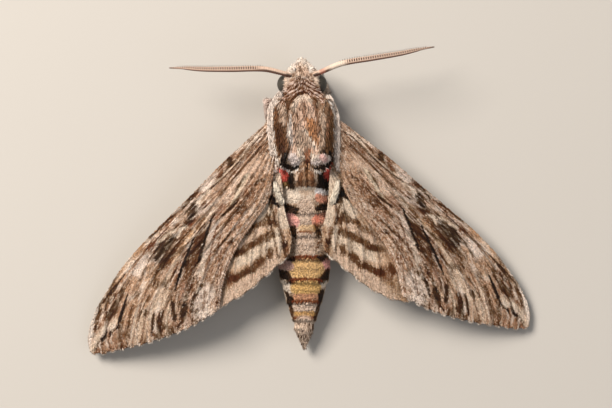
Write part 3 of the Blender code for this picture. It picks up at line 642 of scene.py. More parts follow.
    (BROWN, 0.6, 0.14, 0.12, ((33.6, 0.9), (37.6, 2.1), (41.2, 3.6), (44.2, 5.2))),
    (BROWN, 0.6, 0.14, 0.12, ((41.2, 1.9), (44.2, 3.2), (46.4, 4.2))),
    (CREAM, 0.7, 0.35, 0.2, ((32.6, 4.2), (35.2, 5.1))),
    (BLACK, 0.92, (0.2, 0.42, 0.36, 0.2), 0.14, ((37, 4.6), (38.2, 5.2), (39.2, 5.9), (40.3, 6.6))),
    (DARK, 0.8, 0.5, 0.3, ((36.2, 5.5), (37.2, 6.1), (38.6, 7))),
    (CREAM, 0.75, 0.4, 0.2, ((34.6, 6.1), (36.8, 7.2), (38.6, 8.4))),
    (BLACK, 0.9, 0.5, 0.25, ((33.6, 6.1), (34.6, 6.9), (35.6, 7.9))),
    (DARK, 0.75, 0.3, 0.2, ((37.6, 7.6), (39.6, 7.3))),
    ("#C5A593", 0.5, 0.5, 0.3, ((29.8, 5.5), (32.2, 6.8))),
    (DARK, 0.8, 0.35, 0.2, ((28.2, 6.2), (30.6, 7), (33, 7.8))),
    (BLACK, 0.92, 0.85, 0.25, ((32.6, 8), (34.2, 8.6))),
    (DARK, 0.85, 0.4, 0.2, ((33.4, 8.9), (36.4, 9.4))),
    (BLACK, 0.85, 0.36, 0.2, ((28, 8.1), (30.6, 8.2), (32.6, 9.3))),
    (DARK, 0.7, 0.35, 0.2, ((32, 10.1), (33, 10.8))),
    (BROWN, 0.8, 0.16, 0.12, ((21.2, 6.9), (24.6, 8.8), (27, 10.4), (29.6, 12.4))),
    (BROWN, 0.7, 0.16, 0.12, ((23, 8.4), (25.8, 10.2), (28.4, 12.2))),
    (BROWN, 0.7, 0.16, 0.12, ((25.4, 7.2), (28.4, 8.9), (31.4, 10.9))),
    (BROWN, 0.6, 0.16, 0.12, ((27, 5.6), (30.4, 6.6))),
)
print(len(FORE_STROKES), "strokes on the forewing")

# %% [markdown]
# Between its marks the wing is combed with fine streaks, because the scales lie in rows along the veins.
# They are fields stretched along the wing: some 2 mm long and 0.3 mm wide, which is coarser than the rows
# of real scales, so that they show.


# %% Streaks, specks and blotches
def forewing_fields(along, across, vein_share, seed):
    """Four random fields: comb streaks, finer streaks, specks of a few scales, and blotches."""
    comb = 0.55 * noise(along / 2.2, vein_share * 48, seed)
    comb = comb + 0.65 * noise(along / 1.2, vein_share * 90, seed + 1)
    fine = 0.7 * noise(along / 0.9, vein_share * 110, seed + 5)
    fine = fine + 0.8 * noise(along / 0.35, across / 0.17, seed + 8)
    speck = noise(along / 0.36, across / 0.28, seed + 4) + 0.8 * noise(along / 0.22, across / 0.18, seed + 6)
    blotch = noise(along / 1.5, across / 0.75, seed + 41) + 0.5 * noise(along / 0.8, across / 0.4, seed + 42)
    return comb, fine, speck, blotch


def thin_lines(along, vein_share, seed):
    """Broken lines along the veins, about 0.2 mm wide: where a long stretched field passes through zero."""
    field = np.abs(noise(along / 5.0, vein_share * 26, seed))
    gaps = noise(along / 1.5, vein_share * 30, seed + 1)
    return (1 - ramp(field, 0.06, 0.34)) * ramp(gaps, -0.45, 0.35) * (0.3 + 0.7 * ramp(along, 6, 20))


trial = forewing_fields(*np.random.default_rng(1).uniform(0, 30, (2, 500)), np.full(500, 0.5), 7)
print("spread of comb, fine, speck and blotch", np.round([field.std() for field in trial], 2))

# %% [markdown]
# The ground comes first: tan with pale and brown streaks, plainer and greyer towards the rear edge. Then
# come dark veins with a pale line beside each, the strokes, and last a dust of odd pale and dark scales,
# which the black marks keep out so that they stay clean.


# %% The forewing's colours
def forewing_ground(along, across, vein_share, seed):
    """The ground between the marks, with the fields that the rest is painted with."""
    colours = one_colour(TAN, len(along))
    comb, fine, speck, blotch = forewing_fields(along, across, vein_share, seed)
    broad = noise(along / 6, vein_share * 7, seed + 2)
    rear = ramp(vein_share, 0.52, 0.8)
    comb = comb * (1 - 0.75 * rear) * (1 - 0.3 * ramp(along, 30, 36))
    paint(colours, DUN, 0.6 * rear)
    paint(colours, PALE, 0.9 * ramp(comb + 0.5 * speck + 0.4 * broad + 0.3 * blotch, -0.1, 0.8))
    paint(colours, BROWN, 0.75 * ramp(-comb - 0.5 * speck - 0.3 * broad - 0.3 * blotch, 0.15, 0.9))
    paint(colours, WARM, 0.35 * ramp(noise(along / 5, vein_share * 9, seed + 3), 0.1, 0.9))
    dark_line, pale_line = (
        thin_lines(along, vein_share, seed + step) * (1 - 0.6 * rear) for step in (20, 30)
    )
    paint(colours, CHALK, 0.8 * ramp(blotch, 0.25, 1.1))
    paint(colours, "#6B5141", 0.6 * ramp(-blotch, 0.4, 1.2))
    paint(colours, CHALK, 0.75 * pale_line)
    paint(colours, DARK, 0.8 * dark_line)
    for vein in FOREWING_VEINS:
        beside = (vein_share - vein) * 13
        broken = 0.6 + 0.5 * noise(along / 1.8, np.full(len(along), vein * 40), seed + 7)
        paint(colours, DARK, 0.8 * broken * np.exp(-((beside / 0.11) ** 2)))
        paint(colours, CREAM, 0.4 * broken * np.exp(-(((beside - 0.3) / 0.16) ** 2)))
    paint(colours, CREAM, 0.55 * ramp(speck + 0.4 * comb, 0.35, 1.3))
    paint(colours, DARK, 0.5 * ramp(-speck - 0.4 * comb, 0.5, 1.4))
    paint(colours, PALE, 0.25 * ramp(-along, -15, -5))
    paint(colours, DUN, 0.2 * ramp(along, 33, 38))
    return colours, (comb, fine, speck, rear, dark_line, pale_line)


def forewing_colours(along, across, vein_share, seed):
    """The colour of each point of a forewing. vein_share is 0 at the front edge and 1 at the rear one."""
    colours, fields = forewing_ground(along, across, vein_share, seed)
    comb, fine, speck, rear, dark_line, pale_line = fields
    feather = 0.26 * comb + 0.34 * fine
    ink = np.zeros(len(along))
    for k, (code, strength, wide, soft, line) in enumerate(FORE_STROKES):
        size = float(np.clip(np.mean(wide), 0.1, 1.2))
        # black marks have cleaner edges and are more even
        even, uneven = (0.5, 0.06) if code == BLACK else (1, 0.3)
        ragged = (0.04 + 0.07 * size) * even
        cover = stroke(
            along, across, line, wide, soft, ragged, seed + 10 + k, feather * size**1.2 * even
        )
        if code == BLACK:
            ink = np.maximum(ink, cover)
        paint(colours, code, strength * cover * (0.92 + uneven * (comb + 0.5 * fine)))
    paint(colours, FROST, 0.5 * ramp(fine + 0.4 * comb, 0.4, 1.2) * (1 - ink))
    paint(colours, FROST, 0.45 * pale_line * (1 - ink))
    paint(colours, FROST, 0.45 * rear * ramp(speck, 0.2, 1.0))
    paint(colours, DARK, 0.55 * ramp(-fine - 0.5 * comb, 0.4, 1.2))
    paint(colours, DARK, 0.45 * rear * ramp(-speck, 0.3, 1.0))
    paint(colours, DARK, 0.6 * dark_line)
    return deepen(colours, power=1.36)


PATTERN_SEED = 7
trial = forewing_colours(np.array([20.0, 40.0]), np.array([3.2, 0.0]), np.array([0.4, 0.3]), PATTERN_SEED)
print("colour in a black dash and in the tip's line", np.round(trial.mean(1), 3))

# %% [markdown]
# ## The hindwing's pattern
# The hindwing is pale buff with dark bands that cross its veins and end in a black patch near the body.
# Long cream hair runs down its inner edge, over the side of the abdomen. It is painted as the forewing is.

# %% The hindwing's marks
BAND = "#46301F"
HIND_STROKES = (
    # colour, strength, width, softness, points: first the pale ground
    ("#BFA690", 0.5, 5, 1.5, ((16, 0), (22, 1.5))),
    (CREAM, 0.85, 2.2, 0.8, ((6.6, 3), (8.2, 3.2))),
    (PALE, 0.75, 1, 0.6, ((9.2, 4.4), (11, 4.5), (13, 3.9), (15, 3.3))),
    (CREAM, 0.8, (1.2, 1.5, 1.4, 1.2, 1), 0.7,
     ((9.4, 7.4), (12, 7), (14, 6.3), (16.2, 5.3), (18.2, 4.2))),
    ("#C4A488", 0.6, 1.6, 0.8, ((18.5, 4), (20, 2.8))),
    (PALE, 0.75, 1.5, 0.8, ((13, 9.6), (16.5, 9), (21, 7.6), (25, 6))),
    ("#8E7458", 0.5, 1.6, 1, ((22.8, 5), (25.5, 4.6))),
    # the black wedge by the body
    (BLACK, 1, (0.5, 1.1, 0.7), 0.2, ((4, 2), (4.9, 2.1), (6.2, 1.8))),
    (BLACK, 1, (1, 1.1, 0.6), 0.25, ((4.9, 2.4), (5, 3.6), (5.2, 4.8))),
    # three dark bands, broken into blots
    (BAND, 0.8, (1, 1.2, 0.8), 0.5, ((8.1, 5.6), (8.4, 4.7), (9, 4.3))),
    (BAND, 0.75, 0.6, 0.4, ((9.7, 3.8), (10.5, 3.3))),
    (BAND, 0.65, 0.6, 0.5, ((11.3, 3.4), (12.9, 2.7))),
    (BROWN, 0.5, 0.6, 0.5, ((13.5, 2.5), (16.5, 1.4))),
    (BAND, 0.8, (0.6, 0.9, 0.9, 0.7, 0.7, 0.8, 0.5), 0.45,
     ((9.4, 7.2), (10.3, 6.4), (11.6, 5.6), (12.9, 5.2), (13.7, 4.6), (14.8, 4.3), (16.2, 3.7))),
    (BAND, 0.65, 0.8, 0.5, ((15.6, 4), (16.8, 2.9))),
    (BAND, 0.85, (0.7, 0.9), 0.4, ((12.3, 8.1), (13.2, 8.5))),
    (BAND, 0.85, (1, 1.1, 1, 0.9, 0.9, 0.8), 0.4,
     ((14.6, 7.7), (15.6, 7.5), (17.2, 7.2), (18.4, 6.5), (19.6, 6), (20.6, 5.2))),
    (BROWN, 0.7, (1, 1.8, 1.6), 0.8, ((20, 5.6), (21.2, 4.6), (21.4, 3.4))),
    (BAND, 0.6, 0.8, 0.5, ((20.4, 3.3), (21.6, 3.4))),
    # the inner margin, with thin lines along it
    (DARK, 0.8, 0.3, 0.2, ((5.8, 3.2), (8, 6.2), (9.6, 8.4), (11.6, 10.9))),
    (DARK, 0.65, 0.25, 0.2, ((7.4, 3.8), (10, 7), (12.4, 9.8))),
    (BROWN, 0.7, 0.35, 0.2, ((6, 4.6), (8.4, 7.6), (10.4, 10.2))),
    (CREAM, 0.85, (1.2, 1.6, 1.2), 0.5, ((5.7, 5.6), (6.5, 6.3), (7.3, 7.3))),
    (CREAM, 0.7, 0.5, 0.3, ((8.8, 6.8), (11.4, 9.4))),
    (DARK, 0.8, 0.5, 0.3, ((9.6, 9.3), (10.4, 9.5))),
    (CREAM, 0.85, (1, 1.3, 1.2), 0.4, ((1.6, 1.8), (3, 3), (4.2, 4.4))),
)
print(len(HIND_STROKES), "strokes on the hindwing")

# %% [markdown]
# The hindwing's scales are softer and more even, so its ground has fewer fields and fainter streaks.


# %% The hindwing's colours
def hindwing_colours(along, across, vein_share, seed):
    """The colour of each point of a hindwing, as for a forewing."""
    colours = one_colour("#BCA289", len(along))
    comb = 0.7 * noise(along / 1.8, vein_share * 34, seed)
    comb = comb + 0.6 * noise(along / 0.9, vein_share * 70, seed + 1)
    fine = 0.8 * noise(along / 0.8, vein_share * 100, seed + 5)
    fine = fine + 0.8 * noise(along / 0.3, across / 0.2, seed + 8)
    paint(colours, PALE, 0.75 * ramp(comb + 0.4 * fine, 0.0, 0.9))
    paint(colours, BROWN, 0.55 * ramp(-comb - 0.4 * fine, 0.1, 1.0))
    ink = np.zeros(len(along))
    for k, (code, strength, wide, soft, line) in enumerate(HIND_STROKES):
        size = float(np.clip(np.mean(wide), 0.1, 1.2))
        feather = (0.24 * comb + 0.12 * fine) * size
        cover = stroke(along, across, line, wide, soft, 0.05 + 0.09 * size, seed + 10 + k, feather)
        if code == BLACK:
            ink = np.maximum(ink, cover)
        paint(colours, code, strength * cover * (0.96 + 0.16 * comb))
    paint(colours, CREAM, 0.3 * ramp(fine + 0.4 * comb, 0.45, 1.3) * (1 - ink))
    paint(colours, DARK, 0.4 * ramp(-fine - 0.5 * comb, 0.45, 1.3))
    paint(colours, DARK, 0.35 * thin_lines(along, vein_share, seed + 20))
    return deepen(colours, power=1.28)


WING_KINDS = {
    "forewing": (forewing_colours, FOREWING_VEINS, "wing_scales"),
    "hindwing": (hindwing_colours, HINDWING_VEINS, "hindwing_scales"),
}
for kind, (_, veins, slot) in WING_KINDS.items():
    print(kind, "has", len(veins), "veins and the slot", slot)

# %% [markdown]
# ## The wing membranes
# A real membrane is clear brown chitin thinner than paper, held by hollow veins and hidden by its scales.
# It could be a plane with a bump, but the veins have to stand out in a side view too. So each is a closed
# sheet with the veins raised on both faces.

# %% The height of the veins
MEMBRANE, VEIN_RISE, VEIN_WIDE = 0.13, 0.2, 0.32


def sheet_normals(sheet):
    """Unit normals of a sheet of points, turned upwards."""
    normals = np.cross(np.gradient(sheet, axis=0), np.gradient(sheet, axis=1))
    normals /= np.maximum(np.linalg.norm(normals, axis=2, keepdims=True), 1e-12)
    return normals * np.sign(normals[..., 2:])


def vein_height(sheet, veins):
    """How far the veins stand over the membrane at each point of the sheet."""
    share = np.linspace(0, 1, COLUMNS + 1)[None]
    spans = np.linalg.norm(np.diff(sheet, axis=1), axis=2).sum(1)[:, None]
    height = np.zeros(sheet.shape[:2])
    for vein in veins:
        height = np.maximum(height, np.exp(-(((share - vein) * spans / VEIN_WIDE) ** 2)))
    fade = 1 - 0.8 * ramp(np.linspace(0, 1, ROWS + 1), 0.8, 1.0)[:, None]
    return VEIN_RISE * height * fade


print("veins rise", round(float(vein_height(wings["forewing_left"][0], FOREWING_VEINS).max()), 2), "mm")

# %% [markdown]
# The membrane carries the same painted pattern as the scales, so that no bare skin shows between them. Its
# under side is paler and plainer. Its outer margin waves a little from vein to vein, and its root reaches
# into the body, so that no gap shows there.

# %% Build the membranes
SCALLOP, INTO_BODY = 0.14, 1.6
UNDER_COLOUR, UNDER_THIN = "#B39C88", 0.8
# the upper and under sides share the bake map, one half each with a gap between
HALF_MAP = 0.49
MARGIN_TUFTS = {"forewing": 14, "hindwing": 7}


def margin_wave(share, kind):
    """1 at each dark gap of the fringe and -1 at the middle of each pale tuft."""
    return np.cos(2 * np.pi * share * MARGIN_TUFTS[kind])


def under_side(colours):
    """The same colours on the under side of a wing, paler and plainer."""
    return colours * 0.4 + linear(UNDER_COLOUR) * 0.6


def wing_unwrap(along_share, across_share, under=False):
    """A bake map of a wing: along it across the map, and across it up one half of the map."""
    return np.column_stack([along_share, across_share * HALF_MAP + (1 - HALF_MAP if under else 0)])


def closed_sheet_faces():
    """Four-sided faces of a sheet's upper and under layer and of the walls round it."""
    count = (ROWS + 1) * (COLUMNS + 1)
    index = np.arange(count).reshape(ROWS + 1, COLUMNS + 1)
    quads = np.stack([index[:-1, :-1], index[:-1, 1:], index[1:, 1:], index[1:, :-1]], axis=-1).reshape(-1, 4)
    rim = np.concatenate([index[0, :-1], index[:-1, -1], index[-1, :0:-1], index[:0:-1, 0]])
    after = np.roll(rim, -1)
    walls = np.stack([rim, rim + count, after + count, after], axis=-1)
    return np.concatenate([quads, quads[:, ::-1] + count, walls])


def make_membrane(name):
    """Builds a membrane, and keeps its waved sheet for the scales."""
    kind = name.split("_")[0]
    painter, veins, slot = WING_KINDS[kind]
    sheet, flat = wings[name]
    share = np.linspace(0, 1, COLUMNS + 1)
    out = unit(sheet[-1] - sheet[0])
    wave = -np.linspace(0, 1, ROWS + 1)[:, None] ** 24 * SCALLOP * margin_wave(share, kind)
    sheet = sheet + wave[..., None] * out[None]
    inward = unit(sheet[0] - sheet[6]) * INTO_BODY
    sheet[0] += inward * (1 if kind == "forewing" else 0.5)
    wings[name] = (sheet, flat)
    normals = sheet_normals(sheet)
    rise = (MEMBRANE + vein_height(sheet, veins))[..., None]
    edge = np.ones((ROWS + 1, COLUMNS + 1, 1))
    edge[0], edge[-1], edge[:, 0], edge[:, -1] = 0.25, 0.25, 0.35, 0.25
    top, low = sheet + normals * rise * edge, sheet - normals * rise * edge * UNDER_THIN
    points = np.concatenate([top.reshape(-1, 3), low.reshape(-1, 3)])
    faces = closed_sheet_faces()
    if np.cross(sheet[1, 0] - sheet[0, 0], sheet[0, 1] - sheet[0, 0])[2] > 0:
        faces = faces[:, ::-1]
    along, across = flat[..., 0].ravel(), flat[..., 1].ravel()
    rows, shares = (part.ravel() for part in np.meshgrid(np.linspace(0, 1, ROWS + 1), share, indexing="ij"))
    colours = painter(along, across, shares, PATTERN_SEED)
    make_piece(
        name.replace("wing", "wing_membrane"), points, faces, SKIN_FINISH, (name,),
        np.concatenate([colours, under_side(colours)]), 0.92,
        np.concatenate([wing_unwrap(rows, shares), wing_unwrap(rows, shares, under=True)]),
    )


for wing_name in wings:
    make_membrane(wing_name)

# %% [markdown]
# ## The wing scales
# Real scales overlap like roof tiles, tips away from the body, about 0.1 mm apart. They could be one bump
# texture, but then the light wouldn't catch their tips. Here they are real plates, drawn larger and fewer
# and lying along the veins, which at this size gives the same combed look. First they need random places.


# %% Places on a sheet
def spots_on(sheet, count):
    """Random places spread evenly over a sheet, as rows and columns with their fractions."""
    across = np.cross(sheet[1:, :-1] - sheet[:-1, :-1], sheet[:-1, 1:] - sheet[:-1, :-1])
    areas = np.linalg.norm(across, axis=2).ravel()
    cell = random.choice(len(areas), count, p=areas / areas.sum())
    row = cell // (sheet.shape[1] - 1) + random.random(count)
    column = cell % (sheet.shape[1] - 1) + random.random(count)
    return row, column


def read_sheet(values, row, column):
    """The values of a sheet at rows and columns with fractions."""
    i, j = row.astype(int), column.astype(int)
    f, g = (row - i)[:, None], (column - j)[:, None]
    return (
        values[i, j] * (1 - f) * (1 - g) + values[i + 1, j] * f * (1 - g)
        + values[i, j + 1] * (1 - f) * g + values[i + 1, j + 1] * f * g
    )


trial = read_sheet(wings["forewing_left"][0], np.array([ROWS / 2]), np.array([COLUMNS / 2]))
print("the middle of the left forewing is at", trial[0].round(1))

# %% [markdown]
# Each scale takes the colour painted where its middle shows, a little beyond its root. About one in seven
# is darker than its neighbours, and one in seven paler. The under side gets fewer and wider scales.

# %% Grow the wing scales
# how many, and their length and width
SCALES = {"forewing": (33000, 0.44, 0.18), "hindwing": (21000, 0.5, 0.19)}
ODD_DARK, ODD_PALE = 0.13, 0.15
UNDER_SHARE, UNDER_WIDER = 0.17, 1.7
SHOWN = 0.55


def grow_wing_scales(name):
    kind, side = name.split("_")
    painter, veins, slot = WING_KINDS[kind]
    sheet, flat = wings[name]
    normals = sheet_normals(sheet)
    lies = np.gradient(sheet, axis=0)
    rise = (MEMBRANE + vein_height(sheet, veins))[..., None]
    count, length, width = SCALES[kind]
    for face, number in (("upper", count), ("under", int(count * UNDER_SHARE))):
        row, column = spots_on(sheet, number)
        under = face == "under"
        way = -1 if under else 1
        roots = read_sheet(sheet + normals * rise * (-UNDER_THIN if under else 1), row, column)
        local = read_sheet(flat, row, column)
        shares = column / COLUMNS
        jitter = random.normal(0, 1, (2, number))
        colours = painter(
            local[:, 0] + SHOWN * length + 0.12 * jitter[0], local[:, 1] + 0.03 * jitter[1],
            shares + 0.0025 * jitter[1], PATTERN_SEED,
        )
        odd = random.random(number)
        paint(colours, DARK, 0.45 * (odd < ODD_DARK))
        paint(colours, CREAM, 0.45 * (odd > 1 - ODD_PALE) * ramp(colours.mean(1), 0.03, 0.12))
        if under:
            colours = under_side(colours)
        unwrap = wing_unwrap(row / ROWS, shares, under)
        small = 0.65 + 0.35 * ramp(row / ROWS, 0.0, 0.5)
        coat(
            f"{kind}_scales_{face}_{side}", slot, roots, read_sheet(lies, row, column),
            way * read_sheet(normals, row, column), unwrap, colours,
            length * small, width * (UNDER_WIDER if under else 1), lift=0.06, depth=0.22,
            spread=0.07, sink=0.05, grain=0.2 if kind == "forewing" else 0.13,
        )


for wing_name in wings:
    grow_wing_scales(wing_name)

# %% [markdown]
# ## The fringe
# The outer margin carries a fringe of longer scales, chequered: dark at the end of each vein and whitish
# between. A row of hairs along the margin gives it, and hides the sheet's cut edge.

# %% Grow the fringes
FRINGE = {"forewing": 1500, "hindwing": 1100}


def grow_fringe(name):
    kind, side = name.split("_")
    painter, _, slot = WING_KINDS[kind]
    sheet, flat = wings[name]
    count = FRINGE[kind]
    shares = random.uniform(0.0, 1.0, count)
    column = shares * COLUMNS * 0.9999
    row = ROWS - random.uniform(0.3, 2.2, count)
    roots, lies = read_sheet(sheet, row, column), read_sheet(np.gradient(sheet, axis=0), row, column)
    normals = read_sheet(sheet_normals(sheet), row, column)
    local = read_sheet(flat, row, column)
    pale = ramp(-margin_wave(shares, kind), -0.2, 0.3)
    colours = painter(local[:, 0], local[:, 1], shares, PATTERN_SEED) * 0.5 + linear(DARK) * 0.4
    patchy = 0.65 + 0.35 * noise(shares * 60, np.zeros(count), 310)
    paint(colours, WHITE, 0.95 * pale * patchy)
    coat(
        f"{kind}_fringe_{side}", slot, roots, lies, normals, wing_unwrap(row / ROWS, shares), colours,
        0.5 + 0.2 * pale, 0.2, lift=0.0, depth=0.35, hairs=True, spread=0.16, sink=0.0,
    )


for wing_name in wings:
    grow_fringe(wing_name)

# %% [markdown]
# The forewing's rear edge has a soft row of short hair too, made in the same way. It lies over the
# hindwing, so that from above the two wings read as one surface.

# %% Hair along the rear edge
REAR_HAIRS, REAR_LENGTH = 1900, 0.7


def grow_rear_edge(side):
    sheet, flat = wings["forewing_" + side]
    row = random.uniform(0.18, 0.985, REAR_HAIRS) * ROWS
    column = COLUMNS - random.uniform(0.2, 1.6, REAR_HAIRS)
    normals = sheet_normals(sheet)
    roots = read_sheet(sheet, row, column)
    along_way = unit(read_sheet(np.gradient(sheet, axis=0), row, column))
    rear_way = unit(read_sheet(np.gradient(sheet, axis=1), row, column))
    local = read_sheet(flat, row, column)
    mixed = random.normal(0, 1, (3, REAR_HAIRS))
    shares = column / COLUMNS - 0.06 * np.abs(mixed[2])
    colours = forewing_colours(
        local[:, 0] + 0.3 + 0.8 * mixed[0], local[:, 1] - 0.6 * np.abs(mixed[1]), shares, PATTERN_SEED
    )
    lies = along_way * 0.9 + rear_way * 0.6
    coat(
        f"forewing_rear_hair_{side}", "wing_scales", roots, lies, read_sheet(normals, row, column),
        wing_unwrap(row / ROWS, column / COLUMNS), colours, REAR_LENGTH, 0.17,
        lift=0.02, bend=0.25, depth=0.3, hairs=True, spread=0.2, sink=0.0,
    )


for wing_side in ("left", "right"):
    grow_rear_edge(wing_side)

# %% [markdown]
# ## The body's skin
# Head, thorax and abdomen are separate solids, but the real moth shows no seams between them. Copies of
# the solids are swollen until they meet, remeshed as one, smoothed and shrunk back to a little inside the
# solids, which leaves room for the coat. A low swelling in front stands for the crest of scales that
# roofs the two palps, and the front is gathered into the blunt point that the crest makes from above.

# %% One skin for the body
SKIN_NODES = ("head", "thorax", "abdomen", "tegula_left", "tegula_right", "palp_left", "palp_right")
SWELL, VOXEL, COAT_DEPTH = 0.28, 0.27, 0.32
CREST_CENTRE, CREST_RADII = (HEAD_X - 0.15, 21.7, 8.0), (2.8, 2.1, 1.4)
# the front is drawn in towards this x, to these shares of its width
ARCH_X = -1.45
GATHER_Y, GATHER = (21.2, 22.4, 23.4, 24.4), (1.0, 0.88, 0.58, 0.34)


def joined_skin(name, nodes):
    """Points in the animal's own millimetres, and triangles, of one skin over the nodes."""
    mesh = bmesh.new()
    for node in nodes:
        mesh.from_mesh(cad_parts[node].data)
    crest = Matrix.LocRotScale(Vector(metres(CREST_CENTRE)), None, Vector(CREST_RADII) * MM)
    bmesh.ops.create_uvsphere(mesh, u_segments=40, v_segments=24, radius=1.0, matrix=crest)
    bmesh.ops.remove_doubles(mesh, verts=mesh.verts, dist=0.001 * MM)
    data = bpy.data.meshes.new(name)
    mesh.to_mesh(data)
    mesh.free()
    holder = bpy.data.objects.new(name, data)
    bpy.context.scene.collection.objects.link(holder)
    for kind, settings in (
        ("DISPLACE", {"mid_level": 0, "strength": SWELL * MM}),
        ("REMESH", {"mode": "VOXEL", "voxel_size": VOXEL * MM}),
        ("SMOOTH", {"iterations": 6}),
        ("DISPLACE", {"mid_level": 0, "strength": -(SWELL + COAT_DEPTH) * MM}),
    ):
        step = holder.modifiers.new(kind.lower(), kind)
        for setting, value in settings.items():
            setattr(step, setting, value)
    graph = bpy.context.evaluated_depsgraph_get()
    skin = bpy.data.meshes.new_from_object(holder.evaluated_get(graph))
    bpy.data.objects.remove(holder)
    skin.calc_loop_triangles()
    points, faces = np.empty(len(skin.vertices) * 3), np.empty(len(skin.loop_triangles) * 3, np.int32)
    skin.vertices.foreach_get("co", points)
    skin.loop_triangles.foreach_get("vertices", faces)
    points = points.reshape(-1, 3) / MM - TO_MIDDLE
    points[:, 0] = ARCH_X + (points[:, 0] - ARCH_X) * np.interp(points[:, 1], GATHER_Y, GATHER)
    return points, faces.reshape(-1, 3)


skin_points, skin_faces = joined_skin("body_skin_shape", SKIN_NODES)
corners = skin_points[skin_faces]
face_normals = np.cross(corners[:, 1] - corners[:, 0], corners[:, 2] - corners[:, 0])
face_areas = np.linalg.norm(face_normals, axis=1) / 2
face_normals = unit(face_normals)
skin_normals = np.zeros_like(skin_points)
for corner_index in range(3):
    np.add.at(skin_normals, skin_faces[:, corner_index], face_normals * face_areas[:, None])
skin_normals = unit(skin_normals)
print("body skin", len(skin_faces), "triangles,", round(float(face_areas.sum())), "square mm")

# %% [markdown]
# ## The body's pattern
# The thorax has a pale grey middle, dark flanks and white edges, which are the shoulder plates' long
# scales. At its rear, two black crescents with grey tufts, and red spots, look like a face to a bird. Each
# ring of the abdomen has pink and black on its sides, and the rear ones are ochre on top. The marks are
# strokes again, in the animal's own x and y.

